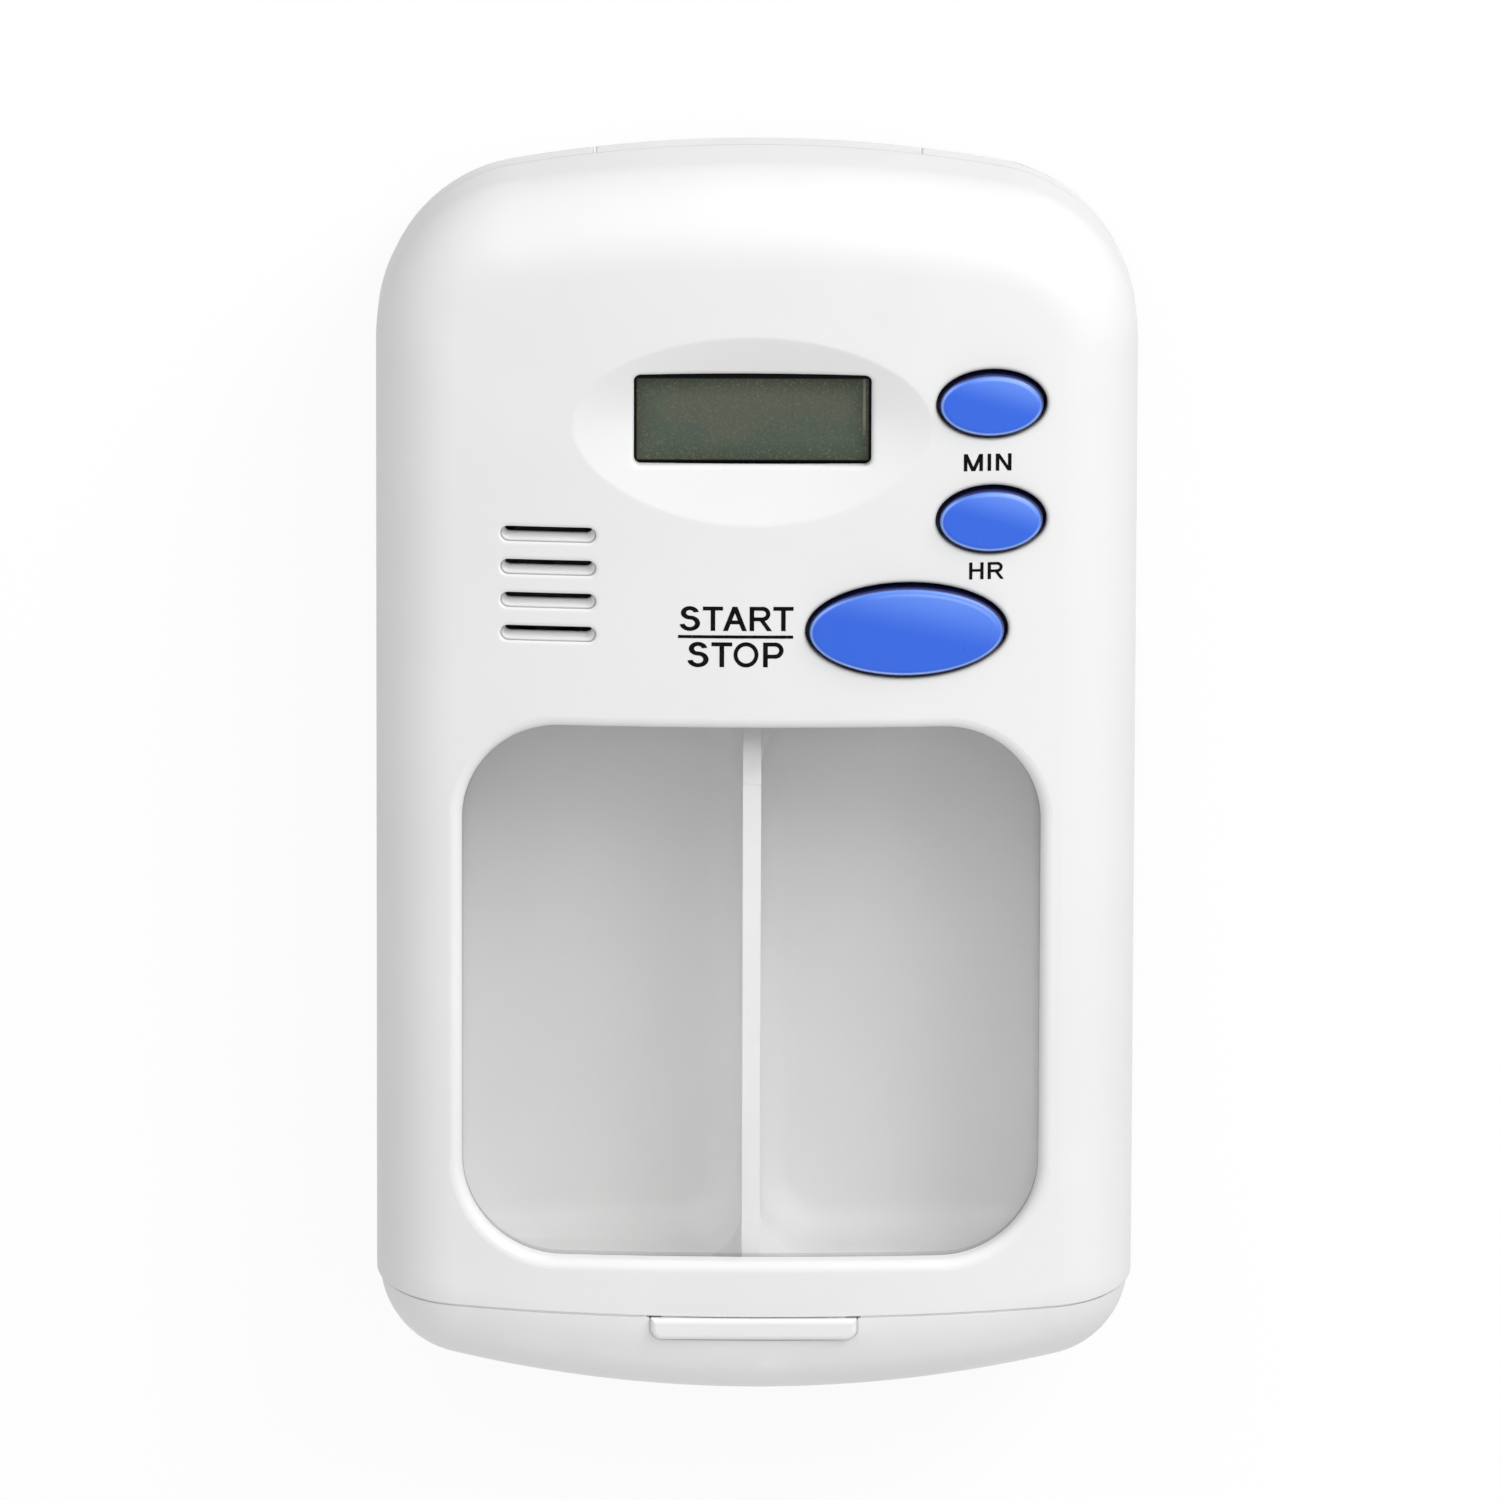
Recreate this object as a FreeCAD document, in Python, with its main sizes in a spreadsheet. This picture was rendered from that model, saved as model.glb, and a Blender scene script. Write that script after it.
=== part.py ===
import FreeCAD, Part
import os
import re
import Sketcher

# Driving dimensions of the organizer in millimetres; slopes and shares are plain ratios.
SIZES = {
    # whole case, lying on its back with the hinge end toward +Y and the front toward +Z
    "case_width": "56",
    "case_length": "92.5",
    "case_height": "20",
    "crown_radius": "140",
    "top_end_radius": "105",
    "chin_end_radius": "114",
    "top_corner_radius": "12",
    "chin_corner_radius": "6.9",
    "front_edge_radius": "6.5",
    "back_edge_radius": "3.2",
    "overrun": "5",
    # parting surface between the front cover and the base
    "split_height": "6.5",
    "split_gap": "0.16",
    "chin_length": "6.7",
    "seam_lean_share": "0.23",
    "base_inset": "0.25",
    # walls
    "lid_wall": "1.8",
    "base_wall": "3.05",
    "floor_thickness": "1.8",
    "seat_clearance": "0.1",
    # hinge at the top end
    "hinge_width": "24.2",
    "hinge_side_gap": "0.16",
    "hinge_depth": "2.7",
    "hinge_height": "2.6",
    "barrel_radius": "1.6",
    "barrel_gap": "0.4",
    "tongue_root": "1.6",
    "tongue_back": "0.4",
    "pin_radius": "0.6",
    "pin_running_gap": "0.05",
    "pin_press_gap": "0.01",
    "pin_length": "33.6",
    "recess_wall": "1.6",
    "hinge_relief": "0.6",
    # pill wells of the base
    "well_rim_drop": "9",
    "well_rim_wall": "1.2",
    "well_rim_gap": "0.3",
    "well_corner_radius": "4.5",
    "well_floor_radius": "2.6",
    "chin_wall": "8.65",
    "cross_wall_gap": "0.4",
    "divider_thickness": "1.35",
    "divider_drop": "3.6",
    "divider_offset": "0.25",
    "divider_step_length": "4.6",
    "divider_step_drop": "0.5",
    # window of the front cover
    "window_left_margin": "6.4",
    "window_right_margin": "7",
    "window_chin_margin": "4.25",
    "window_panel_margin": "1.3",
    "window_corner_radius": "7.3",
    "window_lip_radius": "0.8",
    "display_lip_radius": "0.35",
    "button_lip_radius": "0.25",
    "slot_lip_radius": "0.15",
    "pane_thickness": "1.2",
    "pane_margin": "1",
    # display
    "dish_left_margin": "14.3",
    "dish_right_margin": "15.3",
    "dish_from_top": "18.85",
    "dish_height": "14.1",
    "dish_drop": "2",
    "dish_floor_share": "0.42",
    "dish_floor_height": "3",
    "dish_floor_rise": "1.1",
    "display_left_margin": "4.7",
    "display_right_margin": "4.3",
    "display_rise": "0.7",
    "display_height": "6.8",
    "display_corner_radius": "0.5",
    "glass_lap": "1.8",
    "glass_thickness": "1.8",
    "glass_drop": "2.2",
    "glass_clearance": "0.2",
    "reflector_thickness": "0.4",
    "holder_wall": "1.2",
    "holder_drop": "1",
    "strip_width": "1.8",
    "strip_end_gap": "0.6",
    # sounder grille
    "slot_length": "7",
    "slot_height": "1.15",
    "slot_pitch": "2.48",
    "slot_end_share": "0.49",
    "slot_inset": "12.75",
    "slot_from_top": "30.45",
    "grille_pad_margin": "1.2",
    "grille_pad_drop": "1.5",
    "buzzer_radius": "4.5",
    "buzzer_gap": "0.2",
    "buzzer_edge_radius": "0.4",
    "buzzer_port_radius": "1",
    "buzzer_port_depth": "0.8",
    # buttons
    "small_hole_width": "8.15",
    "small_hole_height": "5.2",
    "large_hole_width": "14.9",
    "large_hole_height": "7.2",
    "side_button_inset": "10.8",
    "minute_from_top": "16.9",
    "hour_from_top": "25.55",
    "start_inset": "16.95",
    "start_from_top": "33.75",
    "button_gap": "0.28",
    "button_proud": "0.6",
    "button_edge_radius": "0.45",
    "flange_margin": "0.6",
    "flange_gap": "0.25",
    "flange_drop": "4.3",
    "switch_width": "4.6",
    "switch_height": "1.1",
    "plunger_radius": "1.1",
    "plunger_gap": "0.1",
    "plunger_length": "1",
    "plunger_floor": "0.15",
    # circuit board and what sits on it
    "board_drop": "6.2",
    "board_thickness": "1",
    "board_side_gap": "1.2",
    "board_end_gap": "1",
    "board_corner_radius": "1.5",
    "board_boss_gap": "0.5",
    "blob_radius": "4",
    "blob_height": "1.2",
    "blob_edge_radius": "1",
    "blob_offset": "2.5",
    "blob_from_top": "32.65",
    "crystal_radius": "1",
    "crystal_length": "6",
    "crystal_gap": "1",
    # inner cover over the electronics
    "panel_length": "39.85",
    "cover_side_gap": "4.6",
    "cover_end_gap": "7.45",
    "cover_drop": "12.8",
    "cover_floor": "1.2",
    "cover_wall": "1",
    "cover_corner_radius": "2.2",
    # batteries
    "cell_radius": "5.8",
    "cell_thickness": "3.05",
    "cell_spacing": "12.2",
    "cell_from_top": "20.75",
    "cell_gap": "0.3",
    "cell_edge_radius": "0.4",
    "bay_wall": "1.6",
    "door_ledge": "0.8",
    "door_gap": "0.2",
    "door_foot_margin": "0.6",
    "door_corner_radius": "1.2",
    "link_thickness": "0.25",
    "contact_thickness": "0.25",
    "contact_width": "5",
    "contact_leg": "1.4",
    # screws
    "boss_radius": "1.8",
    "low_boss_inset": "7.6",
    "low_boss_from_top": "36.95",
    "high_boss_inset": "8.6",
    "high_boss_from_top": "10.75",
    "boss_embed": "0.6",
    "screw_radius": "0.95",
    "screw_pilot_gap": "0.05",
    "screw_hole_gap": "0.2",
    "screw_head_radius": "1.75",
    "screw_head_height": "1.1",
    "screw_length": "5.5",
    "screw_slot_width": "0.5",
    "screw_slot_length": "2.2",
    "screw_slot_depth": "0.6",
    "door_screw_length": "4",
    "board_screw_length": "3.2",
    "board_screw_radius": "0.75",
    "board_head_radius": "1.4",
    "board_head_height": "0.9",
    "post_radius": "1.6",
    "post_one_inset": "10.5",
    "post_one_from_top": "20.75",
    "post_two_inset": "12.4",
    "post_two_from_top": "10.65",
    "post_three_from_top": "30.05",
    # thumb tab and closing hook
    "tab_width": "15.2",
    "tab_length": "1.6",
    "tab_proud": "0.35",
    "tab_thickness": "1.4",
    "tab_edge_radius": "0.4",
    "tab_root": "1.5",
    "tab_root_drop": "0.3",
    "tab_gap": "0.12",
    "hook_width": "6",
    "hook_offset": "9",
    "hook_thickness": "1.1",
    "hook_length": "4.2",
    "hook_gap": "0.35",
}

doc = FreeCAD.newDocument("pill_organizer")
sheet = doc.addObject("Spreadsheet::Sheet", "sizes")
for row, (alias, text) in enumerate(SIZES.items(), start=1):
    sheet.set(f"A{row}", alias)
    sheet.set(f"B{row}", text)
    sheet.setAlias(f"B{row}", alias)
doc.recompute()

# directions for pieces whose own axis is not the upright one
ALONG_X = FreeCAD.Rotation(FreeCAD.Vector(0, 1, 0), 90)
ALONG_Y = FreeCAD.Rotation(FreeCAD.Vector(1, 0, 0), -90)
ON_YZ = FreeCAD.Rotation(FreeCAD.Vector(1, 1, 1), 120)
ON_XZ = FreeCAD.Rotation(FreeCAD.Vector(1, 0, 0), 90)
UPRIGHT = FreeCAD.Rotation()


def formula(text):
    """Write a formula of plain size names as one that points into the sheet."""
    def point(found):
        word = found.group(0)
        return "sizes." + word if word in SIZES else word
    return re.sub(r"[a-z][a-z_]*", point, text)


def number(text):
    """Work out a formula of size names."""
    return float(sheet.evalExpression(formula(text)))


def bind(item, **formulas):
    """Tie properties of a document object to formulas of size names."""
    for name, text in formulas.items():
        item.setExpression(name, formula(text))
    return item


def place(item, x="0", y="0", z="0", turn=UPRIGHT):
    """Turn an object and tie its position to formulas."""
    item.Placement = FreeCAD.Placement(FreeCAD.Vector(0, 0, 0), turn)
    for axis, text in (("x", x), ("y", y), ("z", z)):
        item.setExpression("Placement.Base." + axis, formula(text))
    return item


def box(name, length, width, height, x, y, z):
    """A block centred on x, from y upward and from z upward."""
    item = doc.addObject("Part::Box", name)
    bind(item, Length=length, Width=width, Height=height)
    return place(item, f"({x}) - ({length}) / 2", y, z)


def cylinder(name, radius, height, x, y, z, turn=UPRIGHT):
    """A round bar that starts at a point."""
    item = doc.addObject("Part::Cylinder", name)
    bind(item, Radius=radius, Height=height)
    return place(item, x, y, z, turn)


def oval(name, width, height, x, y, z, top):
    """An upright elliptical bar between two heights."""
    rim = doc.addObject("Part::Ellipse", name + "_rim")
    bind(rim, MajorRadius=f"({width}) / 2", MinorRadius=f"({height}) / 2")
    place(rim, x, y, z)
    item = doc.addObject("Part::Extrusion", name)
    item.Base = rim
    item.DirMode = "Custom"
    item.Dir = FreeCAD.Vector(0, 0, 1)
    item.Solid = True
    return bind(item, LengthFwd=f"({top}) - ({z})")


def join(name, *pieces):
    """Fuse pieces to one solid."""
    item = doc.addObject("Part::MultiFuse", name)
    item.Shapes = list(pieces)
    item.Refine = True
    return item


def overlap(name, *pieces):
    """Keep what all the pieces share."""
    item = doc.addObject("Part::MultiCommon", name)
    item.Shapes = list(pieces)
    return item


def cut(name, base, *tools):
    """Take tools away from a base."""
    tool = tools[0] if len(tools) == 1 else join(name + "_tools", *tools)
    item = doc.addObject("Part::Cut", name)
    item.Base = base
    item.Tool = tool
    return item


def group(name, *pieces):
    """Keep separate solids together as one node."""
    item = doc.addObject("Part::Compound", name)
    item.Links = list(pieces)
    return item


def round_edges(name, base, radius, chosen):
    """Round the edges of a base that a test picks."""
    doc.recompute()
    picked = [i for i, edge in enumerate(base.Shape.Edges, start=1) if chosen(edge)]
    if not picked:
        raise RuntimeError("no edge to round on " + name)
    item = doc.addObject("Part::Fillet", name)
    item.Base = base
    item.Edges = [(i, radius, radius) for i in picked]
    doc.recompute()
    return item


def is_upright(edge):
    """Whether an edge is straight and parallel to Z."""
    first, last = edge.Vertexes[0].Point, edge.Vertexes[-1].Point
    flat = FreeCAD.Vector(first.x - last.x, first.y - last.y, 0).Length
    return edge.Curve.TypeId == "Part::GeomLine" and flat < abs(first.z - last.z) * 1e-6


def flat_at(height, near):
    """A test for edges that lie wholly at one height."""
    def test(edge):
        bounds = edge.BoundBox
        return abs(bounds.ZMin - height) < near and abs(bounds.ZMax - height) < near
    return test


def rounded_box(name, length, width, height, radius, x, y, z):
    """A block with rounded upright corners, centred on x, from y and z upward."""
    block = box(name + "_block", length, width, height, x, y, z)
    return round_edges(name, block, number(radius), is_upright)


def outline(name, corners, turn):
    """A closed sketch through corner points that are given as formulas."""
    sketch = doc.addObject("Sketcher::SketchObject", name)
    sketch.Placement = FreeCAD.Placement(FreeCAD.Vector(0, 0, 0), turn)
    points = [FreeCAD.Vector(number(across), number(up), 0) for across, up in corners]
    count = len(points)
    for i in range(count):
        sketch.addGeometry(Part.LineSegment(points[i], points[(i + 1) % count]))
    for i in range(count):
        sketch.addConstraint(Sketcher.Constraint("Coincident", i, 2, (i + 1) % count, 1))
    for i, (across, up) in enumerate(corners):
        for kind, text, start in (("DistanceX", across, points[i].x), ("DistanceY", up, points[i].y)):
            index = sketch.addConstraint(Sketcher.Constraint(kind, -1, 1, i, 1, start))
            sketch.setExpression(f"Constraints[{index}]", formula(text))
    return sketch


def slab(name, corners, width):
    """A side profile in the YZ plane, drawn out evenly to both sides in X."""
    item = doc.addObject("Part::Extrusion", name)
    item.Base = outline(name + "_profile", corners, ON_YZ)
    item.DirMode = "Custom"
    item.Dir = FreeCAD.Vector(1, 0, 0)
    item.Symmetric = True
    item.Solid = True
    return bind(item, LengthFwd=width)


def turned(name, corners, x, y, z):
    """A half profile of radii and heights, turned about an upright axis."""
    item = doc.addObject("Part::Revolution", name)
    item.Source = outline(name + "_profile", corners, ON_XZ)
    item.Axis = FreeCAD.Vector(0, 0, 1)
    item.Base = FreeCAD.Vector(0, 0, 0)
    item.Angle = 360
    item.Solid = True
    return place(item, x, y, z)


def case_block(name, inset, chin_inset, rounded_back):
    """The pillow-shaped case outline, drawn in from the outer surface by an inset."""
    half = f"(case_width / 2 - ({inset}))"
    high = f"(case_length / 2 - ({inset}))"
    low = f"(-case_length / 2 + ({chin_inset}))"
    top = f"(case_height - ({chin_inset}))"
    block = box(name + "_block", f"2 * {half}", f"{high} - {low}", top, "0", low, "0")
    top_bar = cylinder(name + "_top_bar", f"top_end_radius - ({inset})", top, "0",
                       f"{high} - top_end_radius + ({inset})", "0")
    chin_bar = cylinder(name + "_chin_bar", f"chin_end_radius - ({chin_inset})", top, "0",
                        f"{low} + chin_end_radius - ({chin_inset})", "0")
    crown = cylinder(name + "_crown", f"crown_radius - ({chin_inset})", "case_length + 2 * overrun", "0",
                     "-case_length / 2 - overrun", "case_height - crown_radius", ALONG_Y)
    body = overlap(name + "_body", block, top_bar, chin_bar, crown)
    inset_value = number(inset)
    chin_value = number(chin_inset)
    reach = number(half)

    def on_side(edge):
        return is_upright(edge) and abs(abs(edge.Vertexes[0].X) - reach) < reach * 1e-4

    def top_corner(edge):
        return on_side(edge) and edge.Vertexes[0].Y > 0

    def chin_corner(edge):
        return on_side(edge) and edge.Vertexes[0].Y < 0

    corners = round_edges(name + "_top_corners", body, number("top_corner_radius") - inset_value, top_corner)
    corners = round_edges(name + "_corners", corners, number("chin_corner_radius") - chin_value, chin_corner)
    middle = number(top) / 2
    if rounded_back:
        corners = round_edges(name + "_back", corners, number("back_edge_radius"), flat_at(0, middle * 1e-4))
    return round_edges(name, corners, number("front_edge_radius") - chin_value,
                       lambda edge: edge.BoundBox.ZMin > middle)


def from_top(distance):
    """A place along Y, measured from the hinge end."""
    return f"(case_length / 2 - {distance})"


def from_left(distance):
    """A place along X, measured from the left side."""
    return f"({distance} - case_width / 2)"


def from_right(distance):
    """A place along X, measured from the right side."""
    return f"(case_width / 2 - {distance})"


def from_front(distance):
    """A height, measured from the highest line of the crowned front."""
    return f"(case_height - {distance})"


# hinge axis, along X near the back of the top end
axis_y = from_top("hinge_depth")
axis_z = "hinge_height"

# parting surface: level along the sides, falling away behind the hinge axis so that the cover can
# swing, and leaning up to the front above the chin
seam_y = "(-case_length / 2 + chin_length)"
side_seam_y = f"({seam_y} + (case_height - split_height) * seam_lean_share)"
over_seam_y = f"({seam_y} - overrun * seam_lean_share)"
above = "(case_height + overrun)"
beyond = "(case_length / 2 + overrun)"
half_gap = "split_gap / 2"
wide = "(case_width + 2 * overrun)"
lid_space = slab("lid_space", [
    (f"{over_seam_y} + {half_gap}", above),
    (f"{side_seam_y} + {half_gap}", f"split_height + {half_gap}"),
    (beyond, f"split_height + {half_gap}"),
    (beyond, above),
], wide)
base_space = slab("base_space", [
    (f"{over_seam_y} - {half_gap}", above),
    (f"-{beyond}", above),
    (f"-{beyond}", "-overrun"),
    (beyond, "-overrun"),
    (beyond, f"split_height - {half_gap} - hinge_relief * (hinge_depth + overrun) / hinge_depth"),
    (axis_y, f"split_height - {half_gap}"),
    (f"{side_seam_y} - {half_gap}", f"split_height - {half_gap}"),
], wide)

lid_outer = case_block("lid_outer", "0", "0", False)
lid_inner = case_block("lid_inner", "lid_wall", "lid_wall", False)
lid_limit = case_block("lid_limit", "lid_wall + seat_clearance", "lid_wall + seat_clearance", False)
base_outer = case_block("base_outer", "base_inset", "0", True)

# the electronics fill the panel next to the hinge end, and an inner cover closes them off
panel_low_y = from_top("panel_length")
cover_high_y = from_top("cover_end_gap")
cover_half = from_right("cover_side_gap")
cover_back = from_front("cover_drop")
board_front = from_front("board_drop")
flange_bottom = from_front("flange_drop")

tongue_width = "(hinge_width - 2 * hinge_side_gap)"
recess_y = f"({axis_y} - barrel_radius - barrel_gap)"

# base: tray with two pill wells, a fin between them, and the chin that closes the lower end
base_shell_outer = overlap("base_shell_outer", base_outer, base_space)
well_half = "(case_width / 2 - base_inset - base_wall)"
well_low_y = "(-case_length / 2 + chin_wall)"
cross_high_y = f"({panel_low_y} - cross_wall_gap)"
cross_low_y = f"({cross_high_y} - well_rim_wall)"
tray_high_y = f"({recess_y} - recess_wall)"
rim_half = "(case_width / 2 - lid_wall - well_rim_gap)"
well_rim = rounded_box("well_rim", f"2 * {rim_half}", f"{cross_high_y} - {well_low_y} + well_rim_wall",
                       f"{from_front('well_rim_drop')} - floor_thickness", "well_rim_wall", "0",
                       f"{well_low_y} - well_rim_wall", "floor_thickness")
well_rim_kept = overlap("well_rim_kept", well_rim, lid_limit)
base_solid = join("base_solid", base_shell_outer, well_rim_kept)


def well(name, side):
    """One pill well: rounded corners and a swept floor."""
    inner_x = f"({side} * divider_thickness / 2 - divider_offset)"
    outer_x = f"({side} * {well_half})"
    block = rounded_box(name + "_block_round", f"{side} * ({outer_x} - {inner_x})",
                        f"{cross_low_y} - {well_low_y}", above, "well_corner_radius",
                        f"({outer_x} + {inner_x}) / 2", well_low_y, "floor_thickness")
    return round_edges(name, block, number("well_floor_radius"),
                       flat_at(number("floor_thickness"), number("floor_thickness") * 1e-4))


tray = rounded_box("upper_tray", f"2 * {well_half}", f"{tray_high_y} - {cross_high_y}", above,
                   "well_corner_radius", "0", cross_high_y, "floor_thickness")
hinge_recess = box("hinge_recess", "hinge_width", f"{beyond} - {recess_y}", f"{above} + overrun", "0",
                   recess_y, "-overrun")
pin_start = "(-pin_length / 2)"
pin_bore = cylinder("pin_bore", "pin_radius + pin_press_gap", "case_width", pin_start, axis_y, axis_z,
                    ALONG_X)
tab_foot = "(case_height + tab_proud - tab_thickness)"
tab_recess = rounded_box("tab_recess", "tab_width + 2 * tab_gap", "tab_length + tab_gap + chin_length",
                         f"{above} - {tab_foot} + tab_gap", "tab_edge_radius * 2 + tab_gap", "0",
                         f"{seam_y} - tab_length - tab_gap", f"{tab_foot} - tab_gap")
base_hollow = cut("base_hollow", base_solid, well("left_well", "-1"), well("right_well", "1"), tray,
                  hinge_recess, pin_bore, tab_recess)
fin_y = f"({cross_low_y} - divider_step_length)"
fin_height = f"({from_front('divider_drop')} - floor_thickness / 2)"
fin = box("fin", "divider_thickness", f"{fin_y} - {well_low_y} + well_rim_wall", fin_height,
          "-divider_offset", f"{well_low_y} - well_rim_wall", "floor_thickness / 2")
fin_end = box("fin_end", "divider_thickness", f"{cross_high_y} - {fin_y}",
              f"{fin_height} - divider_step_drop", "-divider_offset", fin_y, "floor_thickness / 2")
fin_kept = overlap("fin_kept", join("fin_whole", fin, fin_end),
                   slab("fin_space", [
                       (f"{over_seam_y} + {half_gap}", above),
                       (f"{side_seam_y} - {half_gap} - well_rim_wall", "0"),
                       (cross_high_y, "0"),
                       (cross_high_y, above),
                   ], wide))
base_shell = join("base_shell", base_hollow, fin_kept)

hinge_pin = cylinder("hinge_pin", "pin_radius", "pin_length", pin_start, axis_y, axis_z, ALONG_X)

# front cover: window, display dish, button holes and sounder slots in the crowned front
window_left = from_left("window_left_margin")
window_right = from_right("window_right_margin")
window_low_y = f"({seam_y} + window_chin_margin)"
window_high_y = f"({panel_low_y} - window_panel_margin)"
window_width = f"({window_right} - {window_left})"
window_height = f"({window_high_y} - {window_low_y})"
window_x = f"(({window_left} + {window_right}) / 2)"
window_hole = rounded_box("window_hole", window_width, window_height, f"{above} + overrun",
                          "window_corner_radius", window_x, window_low_y, "-overrun")
lid_windowed = cut("lid_windowed", lid_outer, window_hole)
window_west, window_east, window_south, window_north = (
    number(side) for side in (window_left, window_right, window_low_y, window_high_y))
upper_half = number("case_height") / 2
slack = number("window_lip_radius")


def on_window_lip(edge):
    """Whether an edge runs along the front rim of the window."""
    bounds = edge.BoundBox
    across = bounds.XMin > window_west - slack and bounds.XMax < window_east + slack
    along = bounds.YMin > window_south - slack and bounds.YMax < window_north + slack
    return across and along and bounds.ZMin > upper_half


lid_lipped = round_edges("lid_lipped", lid_windowed, number("window_lip_radius"), on_window_lip)

# the dish is an oval funnel round the display; its rim meets the crowned front at the dish's width and
# height, and its small floor lies toward the top, so that the upper wall is the steepest
dish_left = from_left("dish_left_margin")
dish_right = from_right("dish_right_margin")
dish_width = f"({dish_right} - {dish_left})"
dish_y = from_top("dish_from_top")
dish_floor_half = f"({dish_width} / 2 * dish_floor_share)"
side_fall = f"({dish_width} ^ 2 / (8 * crown_radius))"
side_run = f"(({dish_width} / 2 - {dish_floor_half}) / (dish_drop - {side_fall}))"


def dish_ring(name, half_width, half_height, y, z):
    """One oval outline of the dish."""
    ring = doc.addObject("Part::Ellipse", name)
    bind(ring, MajorRadius=half_width, MinorRadius=half_height)
    return place(ring, f"({dish_left} + {dish_right}) / 2", y, z)


dish_floor = dish_ring("dish_floor", dish_floor_half, "dish_floor_height / 2",
                       f"{dish_y} + dish_floor_rise", "case_height - dish_drop")
dish_mouth = dish_ring("dish_mouth", f"{dish_floor_half} + 2 * dish_drop * {side_run}",
                       "dish_height - dish_floor_height / 2", f"{dish_y} - dish_floor_rise",
                       "case_height + dish_drop")
dish = doc.addObject("Part::Loft", "dish")
dish.Sections = [dish_mouth, dish_floor]
dish.Ruled = True
dish.Solid = True
lid_dished = cut("lid_dished", lid_lipped, dish)


def fall(x):
    """How far the crowned front has fallen at a place beside the middle."""
    return f"(({x}) ^ 2 / (2 * crown_radius))"


boss_top = from_front("lid_wall")
glass_top = from_front("glass_drop")
display_left = f"({dish_left} + display_left_margin)"
display_right = f"({dish_right} - display_right_margin)"
display_width = f"({display_right} - {display_left})"
display_x = f"(({display_left} + {display_right}) / 2)"
display_y = f"({dish_y} + display_rise)"
slot_x = from_left("slot_inset")
slot_y = from_top("slot_from_top")
slot_span = "(3 * slot_pitch + slot_height)"
pad_width = "(slot_length + 2 * grille_pad_margin)"
pad_height = f"({slot_span} + 2 * grille_pad_margin)"
pad_foot = f"({boss_top} - {fall(slot_x)} - grille_pad_drop)"
side_button_x = from_right("side_button_inset")
start_x = from_right("start_inset")
BUTTONS = {
    "minute": ("small_hole_width", "small_hole_height", side_button_x, from_top("minute_from_top")),
    "hour": ("small_hole_width", "small_hole_height", side_button_x, from_top("hour_from_top")),
    "start_stop": ("large_hole_width", "large_hole_height", start_x, from_top("start_from_top")),
}
display_hole = rounded_box("display_hole", display_width, "display_height", f"{above} - {glass_top}",
                           "display_corner_radius", display_x, f"{display_y} - display_height / 2",
                           f"{glass_top} - glass_thickness / 2")
button_holes = [oval(name + "_hole", width, height, x, y, flange_bottom, above)
                for name, (width, height, x, y) in BUTTONS.items()]
slots = []
for index in range(4):
    low_y = f"{slot_y} - {slot_span} / 2 + {index} * slot_pitch"
    slots.append(rounded_box(f"slot_{index + 1}", "slot_length", "slot_height",
                             f"{above} - {pad_foot} + overrun", "slot_height * slot_end_share", slot_x, low_y,
                             f"{pad_foot} - overrun"))
lid_pierced = cut("lid_pierced", lid_dished, display_hole, *button_holes, *slots)


def front_rim(holes, margin):
    """A test for edges on the crowned front that run round one of the holes."""
    doc.recompute()
    frames = [hole.Shape.BoundBox for hole in holes]

    def test(edge):
        bounds = edge.BoundBox
        if bounds.ZMin < upper_half + number("lid_wall"):
            return False
        for frame in frames:
            across = bounds.XMin > frame.XMin - margin and bounds.XMax < frame.XMax + margin
            along = bounds.YMin > frame.YMin - margin and bounds.YMax < frame.YMax + margin
            if across and along and bounds.ZMin > frame.ZMin + margin:
                return True
        return False
    return test


lid_rims = lid_pierced
for name, holes, radius in (("display_rim", [display_hole], "display_lip_radius"),
                            ("button_rims", button_holes, "button_lip_radius"),
                            ("slot_rims", slots, "slot_lip_radius")):
    lid_rims = round_edges(name, lid_rims, number(radius), front_rim(holes, number("slot_lip_radius")))
lid_shell = overlap("lid_shell", cut("lid_hollow", lid_rims, lid_inner), lid_space)

# hinge tongue, closing hook, thumb tab, screw bosses and posts grow from the inside of the cover
tongue_block = box("tongue_block", tongue_width, f"{beyond} - {axis_y} + tongue_back",
                   "split_height + tongue_root - hinge_height", "0", f"{axis_y} - tongue_back", axis_z)
tongue = overlap("tongue", tongue_block, base_outer)
barrel = cylinder("barrel", "barrel_radius", tongue_width, f"-{tongue_width} / 2", axis_y, axis_z, ALONG_X)
tab_block = box("tab_block", "tab_width", "tab_length", "tab_thickness", "0", f"{seam_y} - tab_length",
                tab_foot)
tab_middle = number(f"{seam_y} - tab_length / 2")
tab_top = number("case_height + tab_proud")
tab_corners = round_edges("tab_corners", tab_block, number("tab_edge_radius * 2"),
                          lambda edge: is_upright(edge) and edge.Vertexes[0].Y < tab_middle)
tab_nose = round_edges("tab_nose", tab_corners, number("tab_edge_radius"), flat_at(tab_top, tab_top * 1e-4))
tab_root = box("tab_root", "tab_width - 4 * tab_edge_radius", "tab_length / 2 + tab_root",
               f"case_height - tab_root_drop - {tab_foot}", "0", f"{seam_y} - tab_length / 2", tab_foot)
hook_foot = f"({boss_top} - hook_length)"
hook_y = f"({seam_y} + (case_height - {hook_foot}) * seam_lean_share + {half_gap} + hook_gap)"
boss_foot = f"({cover_back} + cover_floor)"


def boss(name, radius, x, y, foot):
    """A round boss from a foot up into the front wall."""
    return cylinder(name, radius, f"{boss_top} - {fall(x)} + boss_embed - ({foot})", x, y, foot)


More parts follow.
